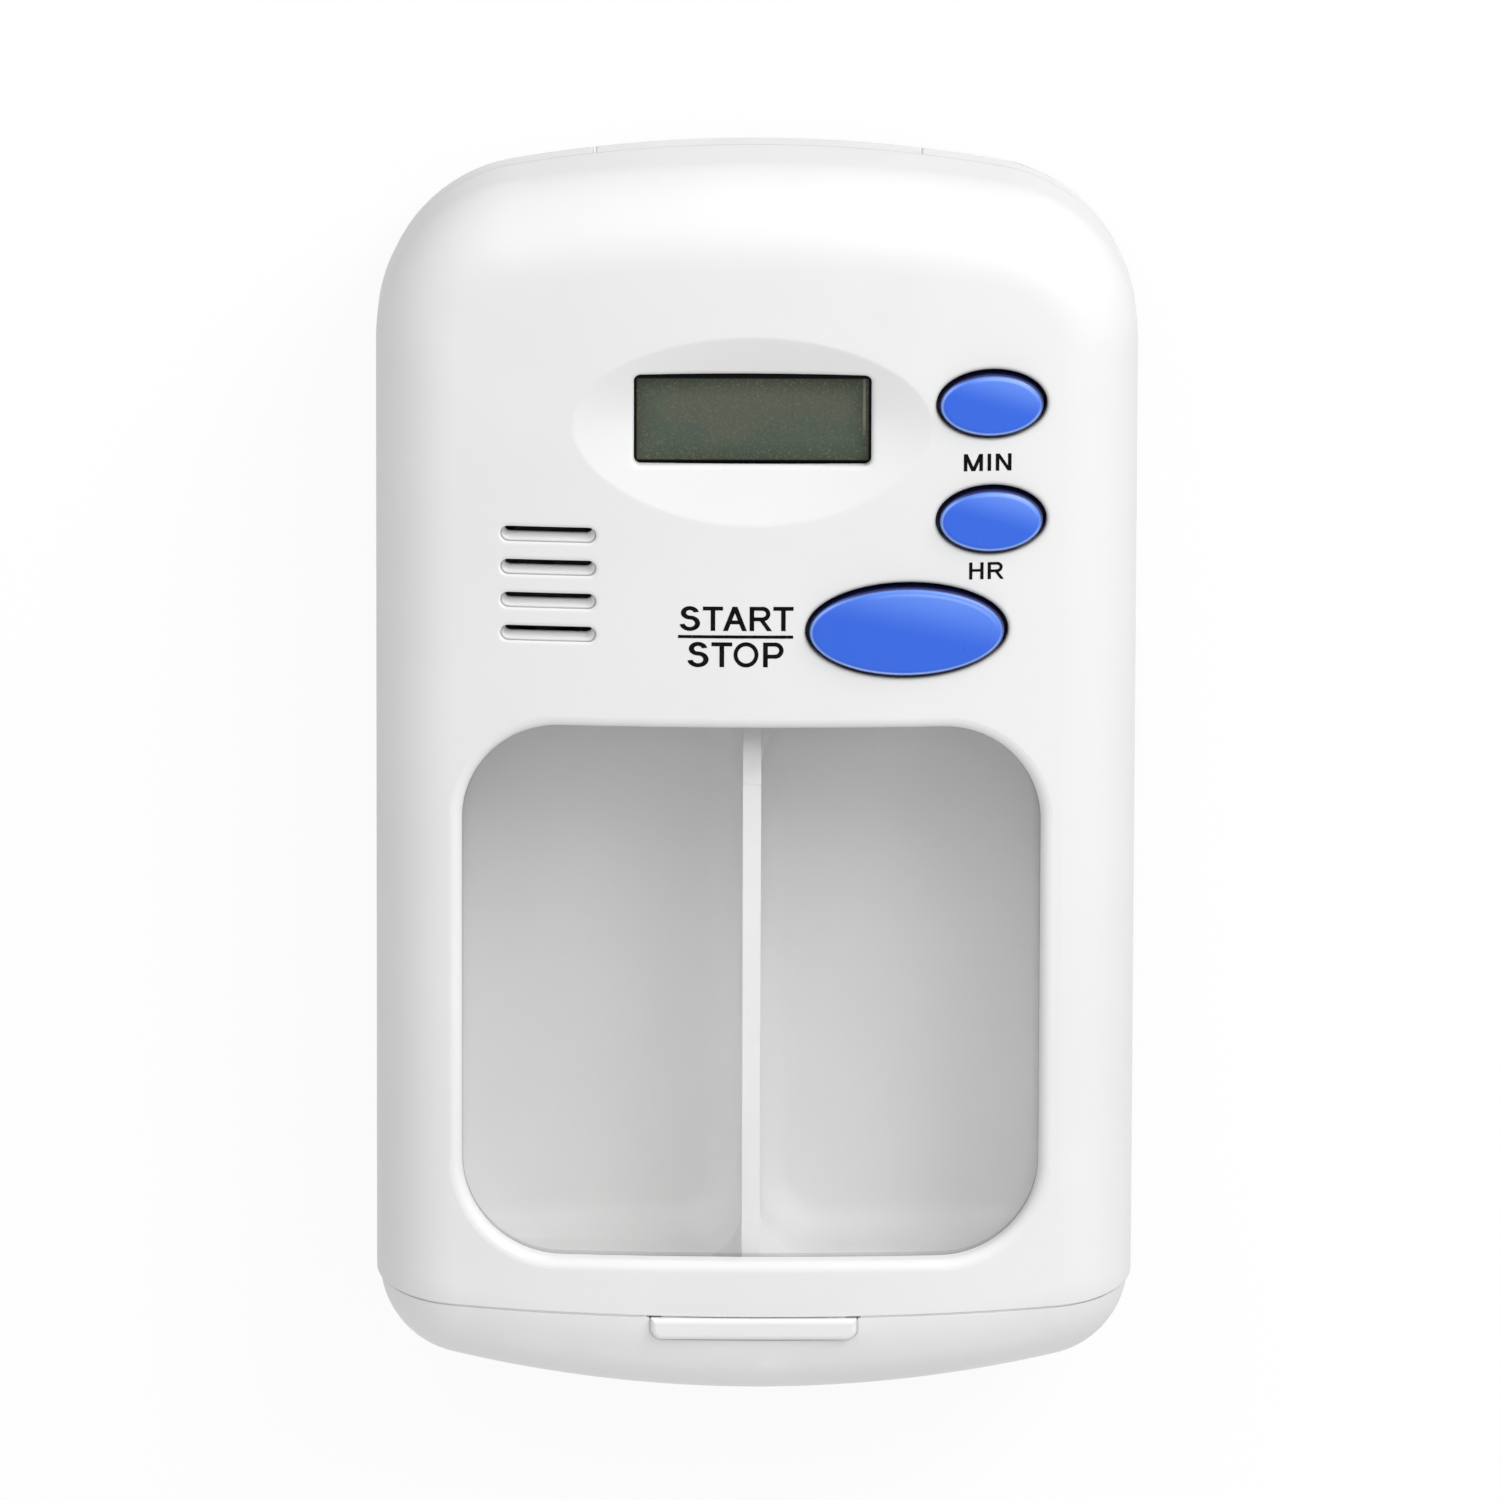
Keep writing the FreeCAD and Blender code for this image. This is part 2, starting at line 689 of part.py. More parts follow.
BOSSES = {
    "low_left": (from_left("low_boss_inset"), from_top("low_boss_from_top")),
    "low_right": (from_right("low_boss_inset"), from_top("low_boss_from_top")),
    "high_left": (from_left("high_boss_inset"), from_top("high_boss_from_top")),
    "high_right": (from_right("high_boss_inset"), from_top("high_boss_from_top")),
}
# the third post stands midway between the sounder can and the flange of the large button
sounder_side = f"({slot_x} + buzzer_radius)"
flange_side = f"({start_x} - large_hole_width / 2 - flange_margin)"
POSTS = {
    "post_one": (from_left("post_one_inset"), from_top("post_one_from_top")),
    "post_two": (from_right("post_two_inset"), from_top("post_two_from_top")),
    "post_three": (f"(({sounder_side} + {flange_side}) / 2)", from_top("post_three_from_top")),
}
grown = [tongue, barrel, tab_nose, tab_root]
for name, x in (("left_hook", "-hook_offset"), ("right_hook", "hook_offset")):
    grown.append(box(name, "hook_width", "hook_thickness", f"hook_length + lid_wall / 2 - {fall(x)}", x,
                     hook_y, hook_foot))
drilled = []
for name, (x, y) in BOSSES.items():
    grown.append(boss(name + "_boss", "boss_radius", x, y, boss_foot))
    drilled.append(cylinder(name + "_pilot", "screw_radius + screw_pilot_gap", "screw_length", x, y,
                            f"{boss_foot} - screw_length / 2"))
for name, (x, y) in POSTS.items():
    grown.append(boss(name, "post_radius", x, y, board_front))
    drilled.append(cylinder(name + "_pilot", "board_screw_radius + screw_pilot_gap", "board_screw_length",
                            x, y, f"{board_front} - board_screw_length / 2"))
grown.append(rounded_box("grille_pad", pad_width, pad_height, "grille_pad_drop + boss_embed",
                         "grille_pad_margin", slot_x, f"{slot_y} - {pad_height} / 2", pad_foot))
lid_grown = join("lid_grown", lid_shell, *grown)

drilled.append(cylinder("tongue_bore", "pin_radius + pin_running_gap", "case_width", "-case_width / 2",
                        axis_y, axis_z, ALONG_X))
glass_width = f"({display_width} + 2 * glass_lap)"
glass_height = "(display_height + 2 * glass_lap)"
glass_low_y = f"({display_y} - {glass_height} / 2)"
glass_bottom = f"({glass_top} - glass_thickness)"
drilled.append(box("glass_pocket", f"{glass_width} + 2 * glass_clearance",
                   f"{glass_height} + 2 * glass_clearance", "glass_thickness + seat_clearance", display_x,
                   f"{glass_low_y} - glass_clearance", glass_bottom))
drilled.extend(slots)
front_cover = cut("front_cover", lid_grown, *drilled)

# window pane under the front wall, bent to the same crown
pane_prism = rounded_box("pane_prism", f"{window_width} + 2 * pane_margin",
                         f"{window_height} + 2 * pane_margin", above, "window_corner_radius + pane_margin",
                         window_x, f"{window_low_y} - pane_margin", "0")
pane_under = cylinder("pane_under", "crown_radius - lid_wall - seat_clearance - pane_thickness",
                      "case_length + 2 * overrun", "0", "-case_length / 2 - overrun",
                      "case_height - crown_radius", ALONG_Y)
window_pane = cut("window_pane", overlap("pane_skin", pane_prism, lid_limit), pane_under)

# display stack between the front wall and the circuit board
board_back = f"({board_front} - board_thickness)"
lcd_panel = box("lcd_panel", glass_width, glass_height, "glass_thickness", display_x, glass_low_y,
                glass_bottom)
strip_height = f"({glass_bottom} - {board_front})"
strip_length = f"({glass_width} - 2 * strip_end_gap)"
zebra_strips = group(
    "zebra_strips",
    box("low_strip", strip_length, "strip_width", strip_height, display_x, glass_low_y, board_front),
    box("high_strip", strip_length, "strip_width", strip_height, display_x,
        f"{glass_low_y} + {glass_height} - strip_width", board_front))
lcd_reflector = box("lcd_reflector", strip_length, f"{glass_height} - 2 * strip_width - 2 * glass_clearance",
                    "reflector_thickness", display_x, f"{glass_low_y} + strip_width + glass_clearance",
                    f"{glass_bottom} - reflector_thickness")
holder_in_width = f"({glass_width} + 2 * glass_clearance)"
holder_in_height = f"({glass_height} + 2 * glass_clearance)"
holder_block = rounded_box("holder_block", f"{holder_in_width} + 2 * holder_wall",
                           f"{holder_in_height} + 2 * holder_wall",
                           f"{glass_top} - holder_drop - {board_front}", "holder_wall", display_x,
                           f"{glass_low_y} - glass_clearance - holder_wall", board_front)
holder_hole = box("holder_hole", holder_in_width, holder_in_height, above, display_x,
                  f"{glass_low_y} - glass_clearance", "0")
lcd_holder = cut("lcd_holder", holder_block, holder_hole)

# circuit board, cut back round the screw bosses and drilled for its own screws
board_half = f"({cover_half} - cover_wall - board_side_gap)"
board_low_y = f"({panel_low_y} + cover_wall + board_end_gap)"
board_high_y = f"({cover_high_y} - cover_wall - board_end_gap)"
board_body = doc.addObject("PartDesign::Body", "board_body")


def plane_of(body, role):
    """One of a body's own origin planes."""
    return next(item for item in body.Origin.OriginFeatures if item.Role == role)


def body_sketch(body, name, height):
    """An empty sketch of a body at one height."""
    sketch = body.newObject("Sketcher::SketchObject", name)
    sketch.AttachmentSupport = (plane_of(body, "XY_Plane"), [""])
    sketch.MapMode = "FlatFace"
    sketch.setExpression("AttachmentOffset.Base.z", formula(height))
    return sketch


def draw_rectangle(sketch, left, right, low, high):
    """Draw a rectangle whose sides are tied to formulas."""
    west, east, south, north = (number(text) for text in (left, right, low, high))
    points = [FreeCAD.Vector(west, south, 0), FreeCAD.Vector(east, south, 0),
              FreeCAD.Vector(east, north, 0), FreeCAD.Vector(west, north, 0)]
    for i in range(4):
        sketch.addGeometry(Part.LineSegment(points[i], points[(i + 1) % 4]))
    for i in range(4):
        sketch.addConstraint(Sketcher.Constraint("Coincident", i, 2, (i + 1) % 4, 1))
    for kind, side in (("Horizontal", 0), ("Vertical", 1), ("Horizontal", 2), ("Vertical", 3)):
        sketch.addConstraint(Sketcher.Constraint(kind, side))
    for kind, side, text, start in (("DistanceX", 0, left, west), ("DistanceY", 0, low, south),
                                    ("DistanceX", 2, right, east), ("DistanceY", 2, high, north)):
        index = sketch.addConstraint(Sketcher.Constraint(kind, -1, 1, side, 1, start))
        sketch.setExpression(f"Constraints[{index}]", formula(text))


def draw_circle(sketch, x, y, radius):
    """Draw a circle whose centre and radius are tied to formulas."""
    center = FreeCAD.Vector(number(x), number(y), 0)
    circle = sketch.addGeometry(Part.Circle(center, FreeCAD.Vector(0, 0, 1), number(radius)))
    for kind, text, start in (("DistanceX", x, center.x), ("DistanceY", y, center.y)):
        index = sketch.addConstraint(Sketcher.Constraint(kind, -1, 1, circle, 3, start))
        sketch.setExpression(f"Constraints[{index}]", formula(text))
    index = sketch.addConstraint(Sketcher.Constraint("Radius", circle, number(radius)))
    sketch.setExpression(f"Constraints[{index}]", formula(radius))


def pad(body, name, sketch, length):
    """Raise a body's sketch by a length."""
    feature = body.newObject("PartDesign::Pad", name)
    feature.Profile = sketch
    bind(feature, Length=length)
    sketch.Visibility = False
    return feature


def pocket_through(body, name, sketch):
    """Cut a sketch at the foot of a body upward through all of it."""
    feature = body.newObject("PartDesign::Pocket", name)
    feature.Profile = sketch
    feature.Type = "ThroughAll"
    feature.Reversed = True
    return feature


def round_body(body, name, radius):
    """Round the upright edges of a body's latest feature."""
    doc.recompute()
    base = body.Tip
    names = [f"Edge{i}" for i, edge in enumerate(base.Shape.Edges, start=1) if is_upright(edge)]
    feature = body.newObject("PartDesign::Fillet", name)
    feature.Base = (base, names)
    return bind(feature, Radius=radius)


board_outline = body_sketch(board_body, "board_outline", board_back)
draw_rectangle(board_outline, f"-{board_half}", board_half, board_low_y, board_high_y)
pad(board_body, "board_plate", board_outline, "board_thickness")
round_body(board_body, "board_corners", "board_corner_radius")
board_drills = body_sketch(board_body, "board_drills", board_back)
for name, (x, y) in POSTS.items():
    draw_circle(board_drills, x, y, "board_screw_radius + screw_hole_gap")
for name, (x, y) in BOSSES.items():
    draw_circle(board_drills, x, y, "boss_radius + board_boss_gap")
doc.recompute()
whole_board = board_body.Shape.Volume
pocket_through(board_body, "board_cuts", board_drills)
doc.recompute()
if not board_body.Shape.Volume < whole_board:
    raise RuntimeError("the board's holes cut nothing")

blob_y = from_top("blob_from_top")
blob_block = cylinder("blob_block", "blob_radius", "blob_height", "blob_offset", blob_y,
                      f"{board_back} - blob_height")
blob_low = number(f"{board_back} - blob_height")
controller_blob = round_edges("controller_blob", blob_block, number("blob_edge_radius"),
                              flat_at(blob_low, blob_low * 1e-4))
timing_crystal = cylinder("timing_crystal", "crystal_radius", "crystal_length",
                          "blob_offset + blob_radius + crystal_gap", blob_y, f"{board_back} - crystal_radius",
                          ALONG_X)

# sounder can behind the slots
buzzer_top = f"({pad_foot} - buzzer_gap)"
buzzer_block = cylinder("buzzer_block", "buzzer_radius", f"{buzzer_top} - {board_front}", slot_x, slot_y,
                        board_front)
buzzer_value = number(buzzer_top)
buzzer_can = round_edges("buzzer_can", buzzer_block, number("buzzer_edge_radius"),
                         flat_at(buzzer_value, buzzer_value * 1e-4))
buzzer_port = cylinder("buzzer_port", "buzzer_port_radius", "buzzer_port_depth + overrun", slot_x, slot_y,
                       f"{buzzer_top} - buzzer_port_depth")
buzzer = cut("buzzer", buzzer_can, buzzer_port)

# push buttons: crowned oval caps with a hidden flange, each on the plunger of its own switch
proud_crown = cylinder("proud_crown", "crown_radius + button_proud", "case_length", "0", "-case_length / 2",
                       "case_height - crown_radius", ALONG_Y)
flange_crown = cylinder("flange_crown", "crown_radius - lid_wall - flange_gap", "case_length", "0",
                        "-case_length / 2", "case_height - crown_radius", ALONG_Y)
plunger_foot = f"({flange_bottom} - plunger_length)"
buttons = {}
plungers = {}
housings = []
for name, (width, height, x, y) in BUTTONS.items():
    cap_bar = oval(name + "_cap_bar", f"{width} - 2 * button_gap", f"{height} - 2 * button_gap", x, y,
                   flange_bottom, above)
    cap_raw = overlap(name + "_cap_raw", cap_bar, proud_crown)
    doc.recompute()
    cap_middle = number(f"({flange_bottom} + case_height) / 2")
    cap = round_edges(name + "_cap", cap_raw, number("button_edge_radius"),
                      lambda edge: edge.BoundBox.ZMin > cap_middle)
    flange_bar = oval(name + "_flange_bar", f"{width} + 2 * flange_margin", f"{height} + 2 * flange_margin",
                      x, y, flange_bottom, above)
    flange = overlap(name + "_flange", flange_bar, flange_crown)
    buttons[name] = join(name + "_button", cap, flange)
    plungers[name] = cylinder(name + "_plunger", "plunger_radius", "plunger_length", x, y, plunger_foot)
    housing = box(name + "_housing", "switch_width", "switch_width", "switch_height", x,
                  f"{y} - switch_width / 2", board_front)
    socket = cylinder(name + "_socket", "plunger_radius + plunger_gap", "switch_height", x, y,
                      f"{board_front} + plunger_floor")
    housings.append(cut(name + "_switch", housing, socket))
switch_housings = group("switch_housings", *housings)

# inner cover: shallow tray over the electronics with a bay for two button cells
cover_height = f"({cover_high_y} - {panel_low_y})"
cover_block = rounded_box("cover_block", f"2 * {cover_half}", cover_height, f"{above} - {cover_back}",
                          "cover_corner_radius", "0", panel_low_y, cover_back)
cover_limited = overlap("cover_limited", cover_block, lid_limit)
cover_hole = rounded_box("cover_hole", f"2 * ({cover_half} - cover_wall)", f"{cover_height} - 2 * cover_wall",
                         above, "cover_corner_radius - cover_wall", "0", f"{panel_low_y} + cover_wall",
                         f"{cover_back} + cover_floor")
bay_length = "(cell_spacing + 2 * cell_radius + 2 * cell_gap)"
bay_width = "(2 * cell_radius + 2 * cell_gap)"
door_top = f"({cover_back} + cover_floor)"
cell_foot = f"({door_top} + link_thickness)"
cell_top = f"({cell_foot} + cell_thickness)"
cell_y = from_top("cell_from_top")
bay_low_y = f"({cell_y} - {bay_width} / 2)"
bay_block = rounded_box("bay_block", f"{bay_length} + 2 * bay_wall", f"{bay_width} + 2 * bay_wall",
                        f"{cell_top} - {cover_back}", "bay_wall", "0", f"{bay_low_y} - bay_wall", cover_back)
door_post_x = f"({bay_length} / 2 + bay_wall + boss_radius / 2)"
door_post = cylinder("door_post", "boss_radius", f"{cell_top} - {cover_back}", door_post_x, cell_y,
                     cover_back)
bay_hole = box("bay_hole", bay_length, bay_width, above, "0", bay_low_y, "0")
door_half = f"({bay_length} / 2 + door_ledge)"
door_end = f"({door_post_x} + screw_head_radius + door_foot_margin)"
door_low_y = f"({bay_low_y} - door_ledge)"
door_height = f"({bay_width} + 2 * door_ledge)"
door_hole = box("door_hole", f"{door_half} + {door_end} + 2 * door_gap", f"{door_height} + 2 * door_gap",
                "cover_floor + overrun", f"({door_end} - {door_half}) / 2", f"{door_low_y} - door_gap",
                f"{cover_back} - overrun")
cover_walls = join("cover_walls", cut("cover_tray", cover_limited, cover_hole), bay_block, door_post)
cover_tools = [bay_hole, door_hole]
for name, (x, y) in BOSSES.items():
    cover_tools.append(cylinder(name + "_screw_hole", "screw_radius + screw_hole_gap",
                                "cover_floor + 2 * overrun", x, y, f"{cover_back} - overrun"))
cover_tools.append(cylinder("door_pilot", "screw_radius + screw_pilot_gap", "door_screw_length", door_post_x,
                            cell_y, cover_back))
inner_cover = cut("inner_cover", cover_walls, *cover_tools)

# battery door, flush in the floor of the inner cover
door_body = doc.addObject("PartDesign::Body", "door_body")
door_outline = body_sketch(door_body, "door_outline", cover_back)
draw_rectangle(door_outline, f"-{door_half}", door_end, door_low_y, f"{door_low_y} + {door_height}")
pad(door_body, "door_plate", door_outline, "cover_floor")
round_body(door_body, "door_corners", "door_corner_radius")
door_drill = body_sketch(door_body, "door_drill", cover_back)
draw_circle(door_drill, door_post_x, cell_y, "screw_radius + screw_hole_gap")
doc.recompute()
whole_door = door_body.Shape.Volume
pocket_through(door_body, "door_cut", door_drill)
doc.recompute()
if not door_body.Shape.Volume < whole_door:
    raise RuntimeError("the door's screw hole cuts nothing")

# cells lie on a link plate on the door and press on two contacts under the board
cells = []
contacts = []
for name, side in (("left", "-1"), ("right", "1")):
    x = f"({side} * cell_spacing / 2)"
    disc = cylinder(name + "_cell_disc", "cell_radius", "cell_thickness", x, cell_y, cell_foot)
    cells.append(round_edges(name + "_cell", disc, number("cell_edge_radius"),
                             lambda edge: not is_upright(edge)))
    leaf = box(name + "_leaf", "contact_width", "contact_width", "contact_thickness", x,
               f"{cell_y} - contact_width / 2", cell_top)
    leg = box(name + "_leg", "contact_width", "contact_leg", f"{board_back} - {cell_top}", x,
              f"{cell_y} + contact_width / 2 - contact_leg", cell_top)
    contacts.append(join(name + "_contact", leaf, leg))
battery_cells = group("battery_cells", *cells)
battery_contacts = group("battery_contacts", *contacts)
battery_link = box("battery_link", "cell_spacing + contact_width", "contact_width", "link_thickness", "0",
                   f"{cell_y} - contact_width / 2", door_top)


def screw(name, shank, length, head, head_height, x, y, seat):
    """A pan-head screw that points to +Z, with its head under a seat and a crossed drive."""
    blank = turned(name + "_blank", [
        ("0", f"-({head_height})"),
        (head, f"-({head_height})"),
        (head, "0"),
        (shank, "0"),
        (shank, f"({length}) - ({shank})"),
        ("0", length),
    ], x, y, seat)
    drive_z = f"({seat}) - ({head_height}) - overrun"
    depth = "overrun + screw_slot_depth"
    first = box(name + "_drive_x", "screw_slot_length", "screw_slot_width", depth, x,
                f"{y} - screw_slot_width / 2", drive_z)
    second = box(name + "_drive_y", "screw_slot_width", "screw_slot_length", depth, x,
                 f"{y} - screw_slot_length / 2", drive_z)
    return cut(name, blank, first, second)


cover_screw_length = "(cover_floor + screw_length / 2 - screw_radius)"
inner_cover_screws = group("inner_cover_screws", *[
    screw(name + "_screw", "screw_radius", cover_screw_length, "screw_head_radius", "screw_head_height", x, y,
          cover_back)
    for name, (x, y) in BOSSES.items()])
battery_door_screw = screw("battery_door_screw", "screw_radius", "door_screw_length - screw_radius",
                           "screw_head_radius", "screw_head_height", door_post_x, cell_y, cover_back)
board_screws = group("board_screws", *[
    screw(name + "_screw", "board_screw_radius",
          "board_thickness + board_screw_length / 2 - board_screw_radius", "board_head_radius",
          "board_head_height", x, y, board_back)
    for name, (x, y) in POSTS.items()])

NODES = {
    "base_shell": base_shell,
    "hinge_pin": hinge_pin,
    "front_cover": front_cover,
    "window_pane": window_pane,
    "lcd_panel": lcd_panel,
    "lcd_reflector": lcd_reflector,
    "lcd_holder": lcd_holder,
    "zebra_strips": zebra_strips,
    "main_board": board_body,
    "controller_blob": controller_blob,
    "timing_crystal": timing_crystal,
    "buzzer": buzzer,
    "switch_housings": switch_housings,
    "battery_cells": battery_cells,
    "battery_contacts": battery_contacts,
    "battery_link": battery_link,
    "battery_door": door_body,
    "battery_door_screw": battery_door_screw,
    "inner_cover": inner_cover,
    "inner_cover_screws": inner_cover_screws,
    "board_screws": board_screws,
    "minute_button": buttons["minute"],
    "minute_plunger": plungers["minute"],
    "hour_button": buttons["hour"],
    "hour_plunger": plungers["hour"],
    "start_stop_button": buttons["start_stop"],
    "start_stop_plunger": plungers["start_stop"],
}
for node, item in NODES.items():
    item.Label = node
doc.recompute()

failed = [item.Name for item in doc.Objects if "Invalid" in item.State or "Error" in item.State]
if failed:
    raise RuntimeError("objects that failed: " + ", ".join(failed))
for node, item in NODES.items():
    if item.Shape.isNull() or not item.Shape.isValid() or not item.Shape.Solids:
        raise RuntimeError("no valid solid for " + node)

os.makedirs("parts", exist_ok=True)
for node, item in NODES.items():
    item.Shape.exportStep(f"parts/{node}.step")
    bounds = item.Shape.BoundBox
    print(f"{node}: {len(item.Shape.Solids)} solid(s), volume {item.Shape.Volume:.2f}, "
          f"x {bounds.XMin:.2f} to {bounds.XMax:.2f}, y {bounds.YMin:.2f} to {bounds.YMax:.2f}, "
          f"z {bounds.ZMin:.2f} to {bounds.ZMax:.2f}")
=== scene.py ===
import logging
import math
from collections.abc import Callable
from dataclasses import dataclass, field
from enum import Enum

import bmesh
import bpy
from mathutils import Matrix, Vector
from mathutils.bvhtree import BVHTree


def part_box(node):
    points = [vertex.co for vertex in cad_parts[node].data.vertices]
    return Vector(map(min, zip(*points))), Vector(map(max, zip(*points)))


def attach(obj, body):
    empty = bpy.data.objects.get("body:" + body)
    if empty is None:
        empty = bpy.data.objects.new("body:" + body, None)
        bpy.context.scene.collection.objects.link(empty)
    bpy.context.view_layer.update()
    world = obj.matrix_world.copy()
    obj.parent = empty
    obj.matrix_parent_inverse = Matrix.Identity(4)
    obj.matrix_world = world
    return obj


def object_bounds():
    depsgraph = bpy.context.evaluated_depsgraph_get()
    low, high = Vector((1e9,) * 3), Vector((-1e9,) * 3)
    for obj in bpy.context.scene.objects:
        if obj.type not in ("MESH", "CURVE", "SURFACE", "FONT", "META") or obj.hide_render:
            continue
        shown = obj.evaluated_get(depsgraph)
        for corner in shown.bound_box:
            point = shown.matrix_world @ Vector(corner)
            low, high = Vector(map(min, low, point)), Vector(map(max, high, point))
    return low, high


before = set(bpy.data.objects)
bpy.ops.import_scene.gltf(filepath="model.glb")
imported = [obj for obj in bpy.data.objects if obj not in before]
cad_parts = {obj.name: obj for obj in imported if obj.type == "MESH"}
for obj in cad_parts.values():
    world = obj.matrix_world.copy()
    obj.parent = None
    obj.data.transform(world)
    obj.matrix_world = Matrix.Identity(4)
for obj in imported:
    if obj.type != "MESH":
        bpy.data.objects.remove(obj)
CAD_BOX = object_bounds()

LOG = logging.getLogger("pill_organizer")
MM = 0.001
PER_MM = 1000.0
CASE_FRONT = 20.0 * MM
PROBE_HEIGHT = 5.0 * MM
FULL_TURN = 360.0
WHITE = (1.0, 1.0, 1.0)

Colour = tuple[float, float, float]
Size = tuple[float, float, float]
Point = tuple[float, float]
Span = tuple[float, float]
Socket = bpy.types.NodeSocket
Mesh = bmesh.types.BMesh
Node = bpy.types.Node
Sockets = bpy.types.bpy_prop_collection
Tree = bpy.types.NodeTree


class Body(Enum):
    """The bodies that carry added pieces."""

    BASE = "base"
    COVER = "cover"


class Slot(Enum):
    """Material slots of the record that added pieces take their finish from."""

    PRINT = "resin_black"
    SHELL = "shell_white"


def opaque(colour: Colour) -> tuple[float, float, float, float]:
    """Give a colour the alpha that a colour socket needs."""
    return (*colour, 1.0)


class Graph:
    """A shader node tree, with short ways to add and link its nodes."""

    FAR = 1.0
    BOTH_COLOURS = (6, 7)
    COLOUR_OUT = 2

    def __init__(self, tree: Tree) -> None:
        """Keep the tree."""
        self.tree = tree

    def feed(self, socket: Socket, value: object) -> None:
        """Link a socket to another one, or set its own value.

        Args:
            socket: The input to feed.
            value: An output socket, or a plain value.
        """
        if isinstance(value, Socket):
            self.tree.links.new(value, socket)
        else:
            socket.default_value = value

    def fill(self, node: Node, inputs: dict[object, object]) -> None:
        """Feed several inputs of a node, given by name or place."""
        for name, value in inputs.items():
            self.feed(node.inputs[name], value)

    def add(self, kind: str, inputs: dict[object, object] | None = None,
            **settings: object) -> Node:
        """Add a node.

        Args:
            kind: The node's type.
            inputs: Input names or places, and what feeds them.
            settings: The node's own properties.

        Returns:
            The new node.
        """
        node = self.tree.nodes.new(kind)
        for name, value in settings.items():
            setattr(node, name, value)
        self.fill(node, inputs or {})
        return node

    def vector(self, operation: str, first: object, second: object = (0.0, 0.0, 0.0)) -> Socket:
        """Work out two vectors: a value for a length or a dot product, and otherwise a vector."""
        node = self.add("ShaderNodeVectorMath", {0: first, 1: second}, operation=operation)
        return node.outputs["Value" if operation in ("LENGTH", "DOT_PRODUCT") else "Vector"]

    def place(self, centre: Vector | None = None, scale: Vector | None = None) -> Socket:
        """Give the object's own coordinates.

        Args:
            centre: The point that becomes the origin, if any.
            scale: Sizes that become 1, if any.

        Returns:
            The coordinates' socket.
        """
        place = self.add("ShaderNodeTexCoord").outputs["Object"]
        if centre is not None:
            place = self.vector("SUBTRACT", place, centre)
        if scale is not None:
            place = self.vector("DIVIDE", place, scale)
        return place

    def noise(self, place: Socket, scale: object, detail: float) -> Socket:
        """Give a noise of about 0 to 1, with a scale in lumps for each metre."""
        inputs = {"Vector": place, "Scale": scale, "Detail": detail}
        return self.add("ShaderNodeTexNoise", inputs).outputs[0]

    def between(self, value: Socket, low: float, high: float, first: object = 0.0,
                last: object = 1.0, smooth: bool = False) -> Socket:
        """Map a value from one range to another.

        Args:
            value: The value to map.
            low: Where the first result is reached.
            high: Where the last result is reached.
            first: The result at low.
            last: The result at high.
            smooth: Whether the step eases in and out.

        Returns:
            The mapped value.
        """
        inputs = {"Value": value, "From Min": low, "From Max": high, "To Min": first, "To Max": last}
        kind = "SMOOTHSTEP" if smooth else "LINEAR"
        return self.add("ShaderNodeMapRange", inputs, interpolation_type=kind).outputs[0]

    def mix(self, mask: Socket, first: object, second: object) -> Socket:
        """Blend two colours.

        Args:
            mask: 0 for the first colour, 1 for the second.
            first: A colour, or a socket.
            second: A colour, or a socket.

        Returns:
            The blended colour.
        """
        node = self.add("ShaderNodeMix", data_type="RGBA")
        self.feed(node.inputs[0], mask)
        for place, colour in zip(self.BOTH_COLOURS, (first, second)):
            self.feed(node.inputs[place], opaque(colour) if isinstance(colour, tuple) else colour)
        return node.outputs[self.COLOUR_OUT]

    def combine(self, operation: str, first: object, second: object = 0.0) -> Socket:
        """Work out two values with a Math node's operation."""
        return self.add("ShaderNodeMath", {0: first, 1: second}, operation=operation).outputs[0]

    def group(self, tree: Tree, inputs: dict[str, object]) -> Node:
        """Place a shared node group and feed its inputs."""
        return self.add("ShaderNodeGroup", inputs, node_tree=tree)

    def bump(self, height: Socket, strength: float, depth: float,
             under: Socket | None = None) -> Socket:
        """Give a normal that follows a height.

        Args:
            height: The height, about 0 to 1.
            strength: How strongly it shows.
            depth: How deep it is in metres.
            under: The normal that the height is laid on, if not the surface's own.

        Returns:
            The normal.
        """
        inputs = {"Height": height, "Strength": strength, "Distance": depth}
        if under is not None:
            inputs["Normal"] = under
        return self.add("ShaderNodeBump", inputs).outputs["Normal"]

    def margin(self, centre: Vector, half: Vector, radius: float) -> Socket:
        """Give the distance inward from the edge of an upright rounded oblong, up to its corner radius.

        Args:
            centre: The oblong's middle.
            half: Its half sizes.
            radius: The radius of its corners.

        Returns:
            The distance in metres.
        """
        core = (half.x - radius, half.y - radius, self.FAR)
        past = self.vector("SUBTRACT", self.vector("ABSOLUTE", self.place(centre)), core)
        past = self.vector("LENGTH", self.vector("MAXIMUM", past))
        return self.combine("SUBTRACT", radius, past)


